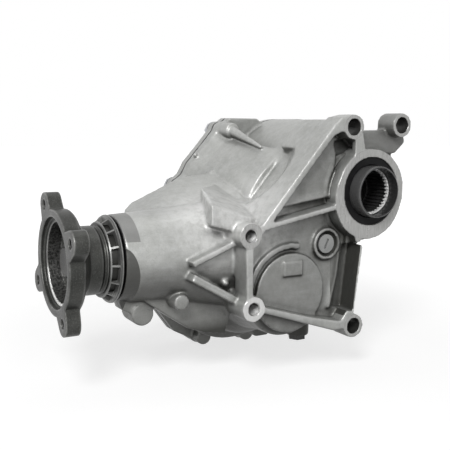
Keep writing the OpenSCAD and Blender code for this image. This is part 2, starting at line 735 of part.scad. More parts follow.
module pinion_rollers() color([0.75, 0.76, 0.77]) {
    seat_x(head_seat_x, 1) bearing_rollers(head_bearing);
    seat_x(tail_seat_x, -1) bearing_rollers(tail_bearing);
}

// Input shaft and its gear

input_seat_r = input_bearing[0] / 2;
spline_y = spline_start - nose_out;
counterbore_r = spline_major_r + 0.8;
gear_seat_r = input_seat_r + 2;
module input_shaft() color([0.2, 0.2, 0.21])
    difference() {
        y_turn(input_axis, [
            [0, -nose_out], [nose_r - 1.5, -nose_out], [nose_r - 0.4, -nose_out + 0.5], [nose_r, -nose_out + 2],
            [nose_r, front_seat_y + 0.4], [input_seat_r, front_seat_y + 1],
            [input_seat_r, front_seat_y + input_bearing[2]],
            [input_seat_r + 3.5, front_seat_y + input_bearing[2]],
            [input_seat_r + 3.5, front_seat_y + input_bearing[2] + 5],
            [input_seat_r - 1, front_seat_y + input_bearing[2] + 8],
            [input_seat_r - 1, gear_y - 6], [gear_seat_r + 4, gear_y - 5], [gear_seat_r + 4, gear_y],
            [gear_seat_r, gear_y], [gear_seat_r, rear_seat_y - input_bearing[2]],
            [input_seat_r, rear_seat_y - input_bearing[2]], [input_seat_r, rear_seat_y - 1],
            [nose_r, rear_seat_y - 0.4], [nose_r, rear_seat_y + 16], [0, rear_seat_y + 16]
        ]);
        y_cyl(input_axis, -nose_out - over, rear_seat_y + 20, through_r);
        along_y(spline_y - over, spline_y + spline_len)
            toothed_outline(spline_teeth, spline_minor_r, spline_major_r, 0.62, 0.42);
        y_cyl(input_axis, -nose_out - over, spline_y, counterbore_r);
    }

module input_gear() color([0.5, 0.51, 0.52])
    difference() {
        along_y(gear_y, gear_y + gear_w) rotate(ring_axis_angle) spur_outline(input_teeth);
        y_cyl(input_axis, gear_y - over, gear_y + gear_w + over, gear_seat_r);
    }

// Ring-gear shaft, its ring gear and its driven gear

ring_pilot_r = 28;
carrier_r = 42;
driven_seat_r = ring_rear_bearing[0] / 2 + 2.5;
ring_bolt_r = 3.5;
bolt_bite = 8;
module ring_bolt_places() for (i = [0 : 7]) {
    translate([35 * cos(i * 45), 0, 35 * sin(i * 45)]) children();
}

module ring_shaft() color([0.48, 0.49, 0.5])
    difference() {
        y_turn(ring_axis, [
        [0, ring_front_y + 0.5], [ring_front_bearing[0] / 2, ring_front_y + 0.5],
        [ring_front_bearing[0] / 2, ring_front_y + ring_front_bearing[2]],
        [19, ring_front_y + ring_front_bearing[2]], [19, ring_front_y + ring_front_bearing[2] + 4],
        [16, ring_front_y + ring_front_bearing[2] + 7], [16, ring_tip_y], [ring_pilot_r, ring_tip_y + ring_tooth_h],
        [ring_pilot_r, ring_back_y], [carrier_r, ring_back_y], [carrier_r, ring_back_y + carrier_t],
        [driven_seat_r + 4, ring_back_y + carrier_t], [driven_seat_r + 4, gear_y],
        [driven_seat_r, gear_y], [driven_seat_r, ring_rear_y - ring_rear_bearing[2]],
        [ring_rear_bearing[0] / 2, ring_rear_y - ring_rear_bearing[2]],
        [ring_rear_bearing[0] / 2, ring_rear_y - 0.5], [0, ring_rear_y - 0.5]
        ]);
        ring_bolt_places() y_cyl(ring_axis, ring_back_y - over, ring_back_y + carrier_t + over, ring_bolt_r);
    }

module ring_gear() color([0.52, 0.53, 0.54]) {
    half = asin(ring_tooth_t / 2 / ring_mean_r);
    difference() {
        y_turn(ring_axis, [
            [ring_pilot_r, ring_tip_y + ring_tooth_h], [ring_gear_r, ring_tip_y + ring_tooth_h],
            [ring_gear_r, ring_back_y], [ring_pilot_r, ring_back_y]
        ]);
        ring_bolt_places() y_cyl(ring_axis, ring_back_y - bolt_bite, ring_back_y + over, ring_bolt_r);
    }
    mesh_angle = atan2(hypoid_offset, -mesh_dx);
    inner_r = ring_gear_r - ring_face_w;
    outer_r = ring_gear_r - 0.3;
    translate([ring_axis[0], 0, ring_axis[1]]) along_y(ring_tip_y, ring_tip_y + ring_tooth_h + over)
        for (i = [0 : ring_teeth - 1]) rotate(mesh_angle + i * 360 / ring_teeth)
            polygon([
                inner_r * [cos(half), -sin(half)], outer_r * [cos(half), -sin(half)],
                outer_r * [cos(half), sin(half)], inner_r * [cos(half), sin(half)]
            ]);
}

module ring_gear_bolts() color([0.3, 0.3, 0.31])
    ring_bolt_places() {
        y_cyl(ring_axis, ring_back_y - bolt_bite, ring_back_y + carrier_t + over, ring_bolt_r);
        translate([ring_axis[0], ring_back_y + carrier_t + 5, ring_axis[1]]) rotate([90, 0, 0])
            cylinder(h = 5, r = ring_bolt_r + 2.5, $fn = 6);
    }

module driven_gear() color([0.5, 0.51, 0.52])
    difference() {
        translate([ring_axis[0], 0, ring_axis[1]]) along_y(gear_y, gear_y + gear_w)
            rotate(ring_axis_angle + 180 + 180 / driven_teeth) spur_outline(driven_teeth);
        y_cyl(ring_axis, gear_y - over, gear_y + gear_w + over, driven_seat_r);
    }

// Pinion shaft with its head, and what it carries

shoulder_x = head_seat_x - 14;
neck_out_r = head_root_r - 2;
blade_root_share = 0.4;
blade_tip_share = 0.16;
module pinion_shaft() color([0.5, 0.51, 0.52]) {
    x_turn([
        [0, flange_x + 9], [11, flange_x + 9], [12, flange_x + 10], [12, flange_x + cup_floor + 4],
        [14, flange_x + cup_floor + 5], [14, tail_back_x], [tail_bearing[0] / 2, tail_back_x + 0.5],
        [tail_bearing[0] / 2, shoulder_x], [head_bearing[0] / 2, shoulder_x],
        [head_bearing[0] / 2, head_seat_x + head_bearing[2]],
        [neck_out_r, head_seat_x + head_bearing[2]], [neck_out_r, head_x - 2], [head_root_r, head_x],
        [head_root_r, head_x + 1], [0, head_x + 1]
    ]);
    translate([head_x, pinion_y, pinion_z]) rotate([0, 90, 0])
        rotate(90 + head_twist * head_len / 2 + 180 / pinion_teeth)
            linear_extrude(head_len, twist = head_twist * head_len, slices = 18)
                toothed_outline(pinion_teeth, head_root_r, head_tip_r, blade_root_share, blade_tip_share);
}

module spacer_sleeve() color([0.5, 0.5, 0.45]) {
    r = tail_bearing[0] / 2 + 0.2;
    x0 = tail_seat_x - tail_bearing[2] + cone_w(tail_bearing);
    mid = (x0 + shoulder_x) / 2;
    x_turn([
        [r, x0], [r + 2, x0], [r + 2, mid - 8], [r + 4, mid], [r + 2, mid + 8], [r + 2, shoulder_x],
        [r, shoulder_x], [r, mid + 7], [r + 2, mid], [r, mid - 7]
    ]);
}

module output_flange() color([0.3, 0.3, 0.3])
    difference() {
        union() {
            x_turn([
                [0, flange_x], [plate_r, flange_x], [plate_r, flange_x + lug_t],
                [plate_r - 2, flange_x + lug_t + 2], [plate_r - 8, flange_x + lug_t + 4.5],
                [neck_r + 2, flange_x + lug_t + 7], [neck_r, flange_x + lug_t + 9],
                [neck_r, flange_x + 31], [neck_r - 1.5, flange_x + 32], [neck_r - 1.5, flange_x + 33.5],
                [neck_r, flange_x + 34.5], [neck_r, deflector_x + deflector_w - 1],
                [hub_r, deflector_x + deflector_w], [hub_r, tail_back_x], [0, tail_back_x]
            ]);
            translate([flange_x, pinion_y, pinion_z]) rotate([0, 90, 0]) linear_extrude(lug_t)
                for (i = [0 : 3]) rotate(lug_turn + 90 * i) hull() {
                    translate([flange_pcd_r, 0]) circle(r = lug_r);
                    translate([plate_r - lug_r - 4, 0]) circle(r = lug_r + 4);
                }
        }
        x_cyl(flange_x - over, flange_x + pilot_depth, pilot_r);
        x_cyl(flange_x - over, flange_x + 16, cup_r);
        x_cyl(flange_x + 15.99, flange_x + cup_floor, cup_r, neck_r - 4.5);
        x_cyl(flange_x, tail_back_x + over, 14);
        for (i = [0 : 3]) translate([flange_x - over, pinion_y, pinion_z]) rotate([0, 90, 0])
            rotate(lug_turn + 90 * i) translate([flange_pcd_r, 0, 0])
                cylinder(h = lug_t + 2 * over, r = flange_hole_r);
    }

// Ring with windows all round, pressed on the flange's neck
window_count = 14;
window_share = 0.82;
module dust_deflector() color([0.45, 0.45, 0.44])
    difference() {
        x_turn([
            [neck_r, deflector_x], [deflector_r - 2.2, deflector_x], [deflector_r - 1.2, deflector_x + 1.2],
            [deflector_r - 0.8, deflector_x + deflector_w - 2], [deflector_r, deflector_x + deflector_w - 1.6],
            [deflector_r, deflector_x + deflector_w], [neck_r, deflector_x + deflector_w]
        ]);
        for (i = [0 : window_count - 1])
            translate([deflector_x + deflector_w / 2 - 0.4, pinion_y, pinion_z]) rotate([i * 360 / window_count, 0, 0])
                translate([0, 0, deflector_r]) cube([
                    deflector_w - 3.8, window_share * 2 * deflector_r * sin(180 / window_count), 7
                ], center = true);
    }

module pinion_nut() color([0.35, 0.35, 0.36])
    difference() {
        union() {
            translate([flange_x + cup_floor - nut_t, pinion_y, pinion_z]) rotate([0, 90, 0])
                cylinder(h = nut_t - 2, r = 18, $fn = 6);
            x_cyl(flange_x + cup_floor - 2, flange_x + cup_floor, 19);
        }
        x_cyl(flange_x, flange_x + cup_floor + over, 12);
    }

main_case();
rear_cover();
cover_bolts();
locating_dowels();
fill_plug();
drain_plug();
breather();
input_seal();
rear_shaft_seal();
pinion_seal();
input_front_cup();
input_rear_cup();
ring_shaft_front_cup();
ring_shaft_rear_cup();
pinion_head_cup();
pinion_tail_cup();
input_shaft();
input_gear();
input_front_cone();
input_rear_cone();
input_rollers();
ring_shaft();
ring_gear();
ring_gear_bolts();
driven_gear();
ring_shaft_front_cone();
ring_shaft_rear_cone();
ring_shaft_rollers();
pinion_shaft();
pinion_head_cone();
pinion_tail_cone();
pinion_rollers();
spacer_sleeve();
output_flange();
dust_deflector();
pinion_nut();
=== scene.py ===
"""Looks of the power transfer unit: soft castings, finishes, lamps and camera round the frame."""
import json
import math

import bmesh
import bpy
import numpy as np
from mathutils import Matrix, Vector


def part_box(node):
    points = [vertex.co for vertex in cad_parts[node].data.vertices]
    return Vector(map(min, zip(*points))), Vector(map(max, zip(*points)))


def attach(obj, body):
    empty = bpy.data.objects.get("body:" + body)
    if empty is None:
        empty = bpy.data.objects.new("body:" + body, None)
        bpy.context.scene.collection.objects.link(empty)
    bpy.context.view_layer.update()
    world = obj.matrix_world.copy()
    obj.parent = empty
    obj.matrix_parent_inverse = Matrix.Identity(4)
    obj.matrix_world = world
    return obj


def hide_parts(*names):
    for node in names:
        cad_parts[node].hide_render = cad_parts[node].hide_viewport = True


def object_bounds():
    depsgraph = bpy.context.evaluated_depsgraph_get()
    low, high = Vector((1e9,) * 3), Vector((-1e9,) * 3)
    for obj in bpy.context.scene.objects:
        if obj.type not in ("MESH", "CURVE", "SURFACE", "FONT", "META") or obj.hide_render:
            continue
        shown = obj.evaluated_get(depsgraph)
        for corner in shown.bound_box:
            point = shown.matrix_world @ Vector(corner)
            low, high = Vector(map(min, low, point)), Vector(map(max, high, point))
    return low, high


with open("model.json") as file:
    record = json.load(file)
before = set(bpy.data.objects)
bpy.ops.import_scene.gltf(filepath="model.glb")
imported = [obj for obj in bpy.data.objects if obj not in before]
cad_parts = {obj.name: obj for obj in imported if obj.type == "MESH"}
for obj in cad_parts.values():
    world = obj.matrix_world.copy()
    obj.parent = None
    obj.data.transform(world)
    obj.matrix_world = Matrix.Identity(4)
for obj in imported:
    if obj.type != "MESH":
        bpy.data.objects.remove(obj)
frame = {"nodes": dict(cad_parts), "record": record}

MM = 0.001
CAD_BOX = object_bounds()
NODES = frame["nodes"]

# Places on the unit, in metres: the input axis is the line X = Z = 0, the mounting plane is Y = 0,
# and the pinion axis runs along X
PINION_AXIS_Y = 60 * MM
PINION_AXIS_Z = -51 * MM
FLANGE_FACE_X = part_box("output_flange")[0].x
JOINT_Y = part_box("rear_cover")[0].y
FLOOR_GAP = 0.5 * MM

# Zones of the casting with a tone of their own, in metres: painted shade, a painted highlight, a band
# and a stain
MOUTH_BAND_X = -200 * MM
MOUTH_BAND_LOW_Z = -34 * MM
SNOUT_X = -122 * MM
POCKET_LEFT_X = -113 * MM
POCKET_FRONT_Y = 6 * MM
POCKET_BACK_Y = 34 * MM
UNDERSIDE_Z = -112 * MM
UNDERSIDE_Y = 27 * MM
CHANNEL_LEFT_X = -31 * MM
CHANNEL_TOP_Z = -38 * MM
CHANNEL_LOW_Z = -106 * MM
CHANNEL_FRONT_Y = 1.2 * MM
HIGHLIGHT_SPOT = (-122 * MM, 36 * MM, -10 * MM)
STAINED_SPOT = (31.5 * MM, 12 * MM, 56 * MM)

# Machined faces in the mounting plane, as (X, Z, radius), and bosses with holes, as (X, Z), with
# the radii of their faces and of the zones round their holes, in millimetres
RING_FACE = [(0, 0, 36), (-2, -5, 36.2)]
THROUGH_BOSSES = [(-21, 54), (31.5, 56), (-14.2, -116)]
TAPPED_BOSSES = [(-119.5, -31), (-115.8, -89.8)]
BOSS_FACE_R = 10.2
THROUGH_HOLE_ZONE_R = 7.6
TAPPED_HOLE_ZONE_R = 6.2

# How deep the bosses' holes are painted with shade, in metres
BOSS_LENGTH = 26 * MM

# Spline inside the input shaft, and the flange's cup
SPLINE_ROOT_R = 19.6 * MM
SPLINE_FRONT_Y = 0.6 * MM
NOSE_BORE_R = 20.9 * MM
CUP_R = 31 * MM

# Cast relief at the snout's mouth, an ellipse seen from the front
RELIEF_X = -213 * MM
RELIEF_Z = -68 * MM
RELIEF_LENGTH = 12 * MM
RELIEF_HEIGHT = 29.5 * MM

# Threaded holes: radius of the hole's wall, and the flange's bolt circle with its turn in degrees
TAPPED_HOLE_R = 5.1 * MM
LUG_HOLE_R = 4.0 * MM
LUG_CIRCLE_R = 47.2 * MM
LUG_TURN = 63.75

# Dust deflector: count, thickness and first turn of its ribs, and the drum that they stand on
DEFLECTOR_RIBS = 14
DEFLECTOR_RIB = 1.5 * MM
DEFLECTOR_DRUM_R = 28.9 * MM
DEFLECTOR_TURN = math.radians(13)

# Cuts in the case, each an outline in (X, Z) between two depths in Y, in millimetres
CHANNEL = [(-18, -45.5), (-8.6, -42), (-15.2, -103), (-28, -100)]
POCKET_CORNER = [(-34, 42), (-18, 45), (-10.5, 38), (-19, 32.5), (-31, 29)]
CASE_CUTS = [(CHANNEL, -2, 19), (POCKET_CORNER, 5, 18)]

# Recess round the fill plug, as (X, Z, radius) and its two depths
PLUG_RECESS = (-37.6, -44.2, 10.6)
PLUG_RECESS_DEPTHS = (8, 14)

# Forms welded to the case, given as the cuts are: the channel's walls and floor, and the web
# under the snout
CHANNEL_WALL = [(-12.2, -103), (-14.8, -103), (-8.4, -44.5), (-18.1, -45.6)]
CHANNEL_SIDE = [(-18.1, -45.4), (-22, -44), (-32, -101), (-28.1, -100.1)]
CHANNEL_END = [(-32, -100.1), (-32, -104), (-12, -104), (-12, -102.9)]
CHANNEL_FLOOR = [(-22, -43), (-5.5, -42), (-12, -104), (-32, -104)]
WEB = [(-193, -70), (-140, -68), (-107, -92), (-116, -121), (-135, -118), (-151, -112),
       (-169, -100), (-183, -90), (-193, -83)]
WEB_END = [(-209, -84), (-206, -92), (-198, -96), (-190, -88), (-193, -72), (-205, -74)]
CASE_WELDS = [
    ([(-18.1, -38), (-4.5, -34)] + CHANNEL_WALL, 10, 20),
    ([(-18.1, -43), (-5.5, -42)] + CHANNEL_WALL, 19, 34),
    (CHANNEL_SIDE, 14.5, 34),
    (CHANNEL_END, 14.5, 34),
    (CHANNEL_FLOOR, 31, 34),
    (WEB, 45, 62),
    (WEB_END, 52, 68),
]

# Round stub beside the web, as (X, Z, radius) and its two depths
STUB = (-165.2, -84.9, 6.5)
STUB_DEPTHS = (28, 62)

# Rounded ridges in the pocket, as (points, radius) in millimetres; the last one is an arc
# round the input axis
CHANNEL_RIDGE = [(-23, 14.0, -47), (-26, 14.0, -73), (-32.5, 14.0, -99.5)]
POCKET_RIDGE = [(-92, 10.5, -10.5), (-60, 10.5, -5.9), (-38.5, 10.5, -2.8)]
RING_RIDGE_R = 40.5
RING_RIDGE_TURNS = [math.radians(turn) for turn in range(150, 186, 5)]
RING_RIDGE = [(RING_RIDGE_R * math.cos(turn), 10.5, RING_RIDGE_R * math.sin(turn))
              for turn in RING_RIDGE_TURNS]
CASE_RIDGES = [(CHANNEL_RIDGE, 2.4), (POCKET_RIDGE, 2.2), (RING_RIDGE, 2.0)]

# Small lumps on the case, as (centre, radius or three radii) in millimetres
CASE_LUMPS = [
    ((-48, 61, 29), (7, 8, 4)),
    ((-95.6, 109.5, 10.6), 3.1),
    ((-99.5, 134.6, 26.0), 2.4),
    ((-129.5, 23.0, -71.5), 3.3),
    ((-120.0, 28.0, -81.0), 2.8),
]

# Where the casting's forms run into each other softly, as (point, radius) in millimetres,
# and how the smoothing fades there, as (share of the radius, weight added inside it)
SOFT_SPOTS = [((-133, 30, -12), 19), ((-50, 58, 32), 13)]
SOFT_STEPS = [(1.0, 1.0), (1.12, 0.6), (1.21, 0.3)]

# Cells of the skins in metres, and the most triangles that each may have
CASE_CELL, CASE_TRIANGLES = 1.0 * MM, 190000
COVER_CELL, FLANGE_CELL, SMALL_TRIANGLES = 1.1 * MM, 0.7 * MM, 120000

# Tones of the casting: bare metal, wear, stains, a dark joint, and painted light and shade
CAST_DARK, CAST_LIGHT = (0.38, 0.385, 0.37), (0.52, 0.525, 0.505)
CAST_MOTTLE, CAST_STREAK, CAST_GRAIN = (0.55, 0.555, 0.545), (0.6, 0.605, 0.6), (0.25, 0.255, 0.245)
# Worn edges, and the spot's painted highlight
WORN_EDGE, SPOT_HIGHLIGHT = (0.62, 0.62, 0.61), (0.8, 0.8, 0.79)
DULL_FACE = (0.34, 0.34, 0.33), (0.47, 0.47, 0.46)
CLEAN_FACE = (0.6, 0.6, 0.59), (0.74, 0.74, 0.73)
# Mouth band, and painted shade in the relief
MOUTH_TONE, RELIEF_SHADE = (0.2, 0.2, 0.195), (0.05, 0.05, 0.046)
# Stain, and painted shade low down and under the snout
STAIN, LOW_SHADE, SNOUT_SHADE = (0.12, 0.12, 0.115), (0.1, 0.1, 0.092), (0.07, 0.07, 0.065)
# Painted shade in the channel, and in corners, below and in the pocket
CHANNEL_SHADE, PAINTED_SHADE = (0.045, 0.045, 0.04), (0.032, 0.032, 0.028)
# Painted shade in the through holes and on the underside
BORE_SHADE, UNDERSIDE_SHADE = (0.03, 0.03, 0.028), (0.02, 0.02, 0.018)
THREAD_SHADE, THREAD_LIT = (0.02, 0.02, 0.018), (0.75, 0.75, 0.74)
SEALANT = (0.012, 0.012, 0.012)

# Tones of the flange, with its painted shade and painted highlight
FORGED = (0.03, 0.031, 0.028), (0.07, 0.071, 0.066)
RUBBED_FACE = (0.03, 0.03, 0.028), (0.09, 0.09, 0.086)
PITTED_CUP = (0.035, 0.035, 0.033), (0.16, 0.16, 0.155)
# Grain, and painted shade in recesses
FORGED_GRAIN, FORGED_SHADE = (0.17, 0.17, 0.165), (0.015, 0.015, 0.014)
# Worn edges, and a painted highlight on the step in the cup
FLANGE_EDGE, STEP_HIGHLIGHT = (0.36, 0.36, 0.35), (0.95, 0.95, 0.93)

# Plain steels, as (dark tone, light tone, metallic, smoothest, roughest)
PLAIN_STEELS = {
    "bearing_steel": ((0.5, 0.5, 0.51), (0.6, 0.6, 0.61), 0.9, 0.18, 0.3),
    "gear_steel": ((0.28, 0.28, 0.29), (0.38, 0.38, 0.39), 0.85, 0.28, 0.42),
    "bolt_steel": ((0.4, 0.41, 0.43), (0.52, 0.53, 0.55), 0.85, 0.25, 0.4),
    "plug_alloy": ((0.22, 0.225, 0.22), (0.32, 0.325, 0.32), 0.5, 0.38, 0.52),
    "dark_steel": ((0.03, 0.03, 0.029), (0.06, 0.06, 0.057), 0.6, 0.35, 0.5),
}

# Camera, as the photograph was taken, with its turns in degrees
CAMERA_EYE = Vector((-412.5, -468.61, 53.87)) * MM
CAMERA_TURN = -29.86
CAMERA_RISE = 7.86
CAMERA_ROLL = 0.77
CAMERA_LENS = 57.67
CAMERA_FILM = 36.0

# Middle of the unit, and the lamps that point at it, as (name, place, size, power)
MIDDLE = (-0.08, 0.07, -0.05)
LAMPS = [
    ("key", (-0.8, -0.75, 0.75), 0.4, 11.5),
    ("front_left", (-0.35, -1.1, 0.5), 0.45, 2.2),
    ("top", (0.1, 0.2, 1.15), 0.8, 1.2),
]
WORLD_LIGHT = 0.1
FLOOR_HALF = 6.0


# Nodes of materials and of Geometry Nodes


def feed(tree, socket, value):
    """Links a socket to another node's output, or gives it a number, a vector or a tone."""
    if isinstance(value, bpy.types.NodeSocket):
        tree.links.new(value, socket)
    elif socket.type == "RGBA":
        socket.default_value = (*value, 1.0)
    else:
        socket.default_value = value


def add_node(tree, kind, feeds=(), **settings):
    """Adds a node with its settings, and feeds its inputs, as {name or index: value}."""
    node = tree.nodes.new(kind)
    for key, value in settings.items():
        setattr(node, key, value)
    for key, value in dict(feeds).items():
        feed(tree, node.inputs[key], value)
    return node


class Finish:
    """A material under construction, with short calls for the nodes that it needs."""

    def __init__(self, name):
        self.material = bpy.data.materials.new(name)
        self.material.use_nodes = True
        self.tree = self.material.node_tree
        self.shader = self.tree.nodes["Principled BSDF"]
        self.place = self.add("ShaderNodeTexCoord").outputs["Object"]

    def add(self, kind, feeds=(), **settings):
        return add_node(self.tree, kind, feeds, **settings)

    def give(self, name, value):
        """Feeds an input of the finish's shader."""
        feed(self.tree, self.shader.inputs[name], value)

    def math(self, operation, a, b, clamp=False):
        return self.add("ShaderNodeMath", {0: a, 1: b}, operation=operation,
                        use_clamp=clamp).outputs[0]

    def product(self, *factors):
        product = factors[0]
        for factor in factors[1:]:
            product = self.math("MULTIPLY", product, factor)
        return product

    def above(self, value, limit):
        return self.math("GREATER_THAN", value, limit)

    def below(self, value, limit):
        return self.math("LESS_THAN", value, limit)

    def between(self, value, low, high):
        return self.product(self.above(value, low), self.below(value, high))

    def within(self, value, middle, reach):
        """1 where a value lies within reach of a middle, 0 elsewhere."""
        distance = self.math("ABSOLUTE", self.math("SUBTRACT", value, middle), 0.0)
        return self.below(distance, reach)

    def noise(self, scale, detail=3.0, roughness=0.55, stretch=None):
        place = self.place
        if stretch:
            place = self.add("ShaderNodeMapping", {"Vector": place, "Scale": stretch}).outputs[0]
        return self.add("ShaderNodeTexNoise", {"Vector": place, "Scale": scale, "Detail": detail,
                                               "Roughness": roughness}).outputs["Fac"]

    def ramp(self, value, tones, low=0.3, high=0.7):
        """From a dark to a light tone, as a value goes from low to high."""
        node = self.add("ShaderNodeValToRGB", {"Fac": value})
        for element, position, tone in zip(node.color_ramp.elements, (low, high), tones):
            element.position = position
            element.color = (*tone, 1.0)
        return node.outputs["Color"]

    def blend(self, factor, a, b):
        return self.add("ShaderNodeMix", {0: factor, 6: a, 7: b}, data_type="RGBA").outputs[2]

    def paint(self, base, *layers):
        """Lays tones over a base, each given as (mask, tone)."""
        for mask, tone in layers:
            base = self.blend(mask, base, tone)
        return base

    def remap(self, value, low, high, to_low, to_high):
        numbers = dict(enumerate((value, low, high, to_low, to_high)))
        return self.add("ShaderNodeMapRange", numbers).outputs[0]

    def bump(self, *heights):
        """Chains bumps, given as (height, strength, distance in metres)."""
        feeds = {}
        for height, strength, distance in heights:
            feeds.update(Height=height, Strength=strength, Distance=distance)
            feeds["Normal"] = self.add("ShaderNodeBump", feeds).outputs["Normal"]
        self.give("Normal", feeds["Normal"])

    def axis(self, letter):
        return self.add("ShaderNodeSeparateXYZ", {0: self.place}).outputs[letter]

    def facing(self, letter):
        """How far the surface faces along an axis, from -1 to 1."""
        normal = self.add("ShaderNodeNewGeometry").outputs["Normal"]
        return self.add("ShaderNodeSeparateXYZ", {0: normal}).outputs[letter]

    def distance_from(self, centre, across="XYZ"):
        """Distance from a point, or from a line through it along the letters left out."""
        keep = [1.0 if letter in across else 0.0 for letter in "XYZ"]
        away = self.add("ShaderNodeVectorMath", {0: self.place, 1: centre}, operation="SUBTRACT")
        flat = self.add("ShaderNodeVectorMath", {0: away.outputs[0], 1: keep}, operation="MULTIPLY")
        length = self.add("ShaderNodeVectorMath", {0: flat.outputs[0]}, operation="LENGTH")
        return length.outputs["Value"]

    def recess(self, reach):
        """1 on open surfaces, falling towards 0 deep in corners and holes."""
        return self.add("ShaderNodeAmbientOcclusion", {"Distance": reach}, samples=8).outputs["AO"]

    def edges(self):
        """0.5 on flat surfaces, more along worn edges, less along inner corners."""
        return self.add("ShaderNodeNewGeometry").outputs["Pointiness"]

    def near_plane(self, letter, value, reach):
        """1 where the surface lies within reach of a plane across an axis, 0 elsewhere."""
        return self.within(self.axis(letter), value, reach)


# Finishes


def circles_at(places, radius):
    return [(x, z, radius) for x, z in places]


def discs(coat, circles):
    """1 inside circles, as (X, Z, radius) in millimetres, at every depth."""
    inside = 0.0
    for x, z, radius in circles:
        disc = coat.below(coat.distance_from((x * MM, 0.0, z * MM), "XZ"), radius * MM)
        inside = coat.math("MAXIMUM", inside, disc)
    return inside


def machined_faces(coat, circles):
    """1 on the machined faces with these circles in the mounting plane."""
    return coat.product(discs(coat, circles), coat.near_plane("Y", 0.0, 0.3 * MM))


def drilled(coat, bosses, radius):
    """1 inside the holes of bosses, behind the mounting plane."""
    in_boss = coat.between(coat.axis("Y"), 0.7 * MM, BOSS_LENGTH)
    return coat.product(discs(coat, circles_at(bosses, radius)), in_boss)


def mouth_relief(coat):
    """1 in the cast relief at the lower front of the snout's mouth."""
    along = coat.math("DIVIDE", coat.math("SUBTRACT", coat.axis("X"), RELIEF_X), RELIEF_LENGTH)
    upright = coat.math("DIVIDE", coat.math("SUBTRACT", coat.axis("Z"), RELIEF_Z), RELIEF_HEIGHT)
    reach = coat.math("ADD", coat.math("POWER", along, 2.0), coat.math("POWER", upright, 2.0))
    return coat.product(coat.below(reach, 1.0), coat.below(coat.axis("Y"), PINION_AXIS_Y))


def unshaded(coat, mottle):
    """1 on open cast surfaces; painted shade brings it down in corners, below, and on the pocket's
    floor.
    """
    # Painted shade: darker in corners and holes, on faces that look down, and on the pocket's floor
    wide = coat.remap(coat.recess(60 * MM), 0.2, 0.95, 0.62, 1.0)
    near = coat.remap(coat.recess(7 * MM), 0.35, 0.95, 0.4, 1.0)
    below = coat.remap(coat.facing("Z"), -0.8, 0.1, 0.12, 1.0)
    pocket = coat.product(coat.between(coat.axis("Y"), POCKET_FRONT_Y, POCKET_BACK_Y),
                          coat.above(coat.axis("X"), POCKET_LEFT_X),
                          coat.below(coat.facing("Y"), -0.2))
    clean = coat.math("SUBTRACT", coat.product(wide, near, below), coat.product(pocket, 0.36))
    drift = coat.product(coat.math("SUBTRACT", mottle, 0.5), 0.2)
    return coat.math("ADD", clean, drift, clamp=True)


def cast_zones(coat, mottle, shaded_underside):
    """Wear, a stain, a mouth band, a dark joint, painted shade and painted highlights in places of
    their own, as (mask, tone), in the order that they are laid.
    """
    x, y, z = (coat.axis(letter) for letter in "XYZ")
    # Painted highlight: a patchy bright spot on the arm by the snout
    highlight = coat.product(coat.remap(coat.distance_from(HIGHLIGHT_SPOT), 0.02, 0.062, 0.75, 0.0),
                           coat.remap(mottle, 0.35, 0.55, 0.55, 1.0))
    under_snout = coat.product(coat.below(x, SNOUT_X),
                               coat.remap(coat.facing("Z"), -0.65, 0.05, 0.5, 0.0))
    stain = coat.remap(coat.distance_from(STAINED_SPOT), 0.012, 0.045, 0.6, 0.0)
    # Painted shade, darker towards the bottom
    low_shade = coat.product(coat.remap(z, -60 * MM, -95 * MM, 0.0, 0.5),
                             coat.above(y, UNDERSIDE_Y - 4 * MM))
    mouth = coat.product(coat.below(x, MOUTH_BAND_X), coat.above(z, MOUTH_BAND_LOW_Z), 0.8)
    # Painted shade in the channel, strongest on its faces that look left
    channel = coat.product(coat.above(x, CHANNEL_LEFT_X), coat.above(y, CHANNEL_FRONT_Y),
                           coat.between(z, CHANNEL_LOW_Z, CHANNEL_TOP_Z),
                           coat.remap(coat.facing("X"), -0.1, -0.6, 0.35, 0.92))
    lit_side = coat.math("SUBTRACT", coat.facing("Z"), coat.facing("X"))
    threads_tone = coat.blend(coat.remap(lit_side, 0.35, 0.95, 0.0, 1.0), THREAD_SHADE, THREAD_LIT)
    return [
        (coat.remap(coat.edges(), 0.51, 0.56, 0.0, 0.35), WORN_EDGE),
        (highlight, SPOT_HIGHLIGHT),
        (under_snout, SNOUT_SHADE),
        (stain, STAIN),
        (coat.product(shaded_underside, 0.93), UNDERSIDE_SHADE),
        (low_shade, LOW_SHADE),
        (mouth, MOUTH_TONE),
        # Painted shade in the relief at the snout's mouth
        (coat.product(mouth_relief(coat), 0.9), RELIEF_SHADE),
        (channel, CHANNEL_SHADE),
        # Painted shade inside the through holes
        (coat.product(drilled(coat, THROUGH_BOSSES, THROUGH_HOLE_ZONE_R), 0.94), BORE_SHADE),
        (drilled(coat, TAPPED_BOSSES, TAPPED_HOLE_ZONE_R), threads_tone),
        (coat.near_plane("Y", JOINT_Y, 0.8 * MM), SEALANT),
    ]


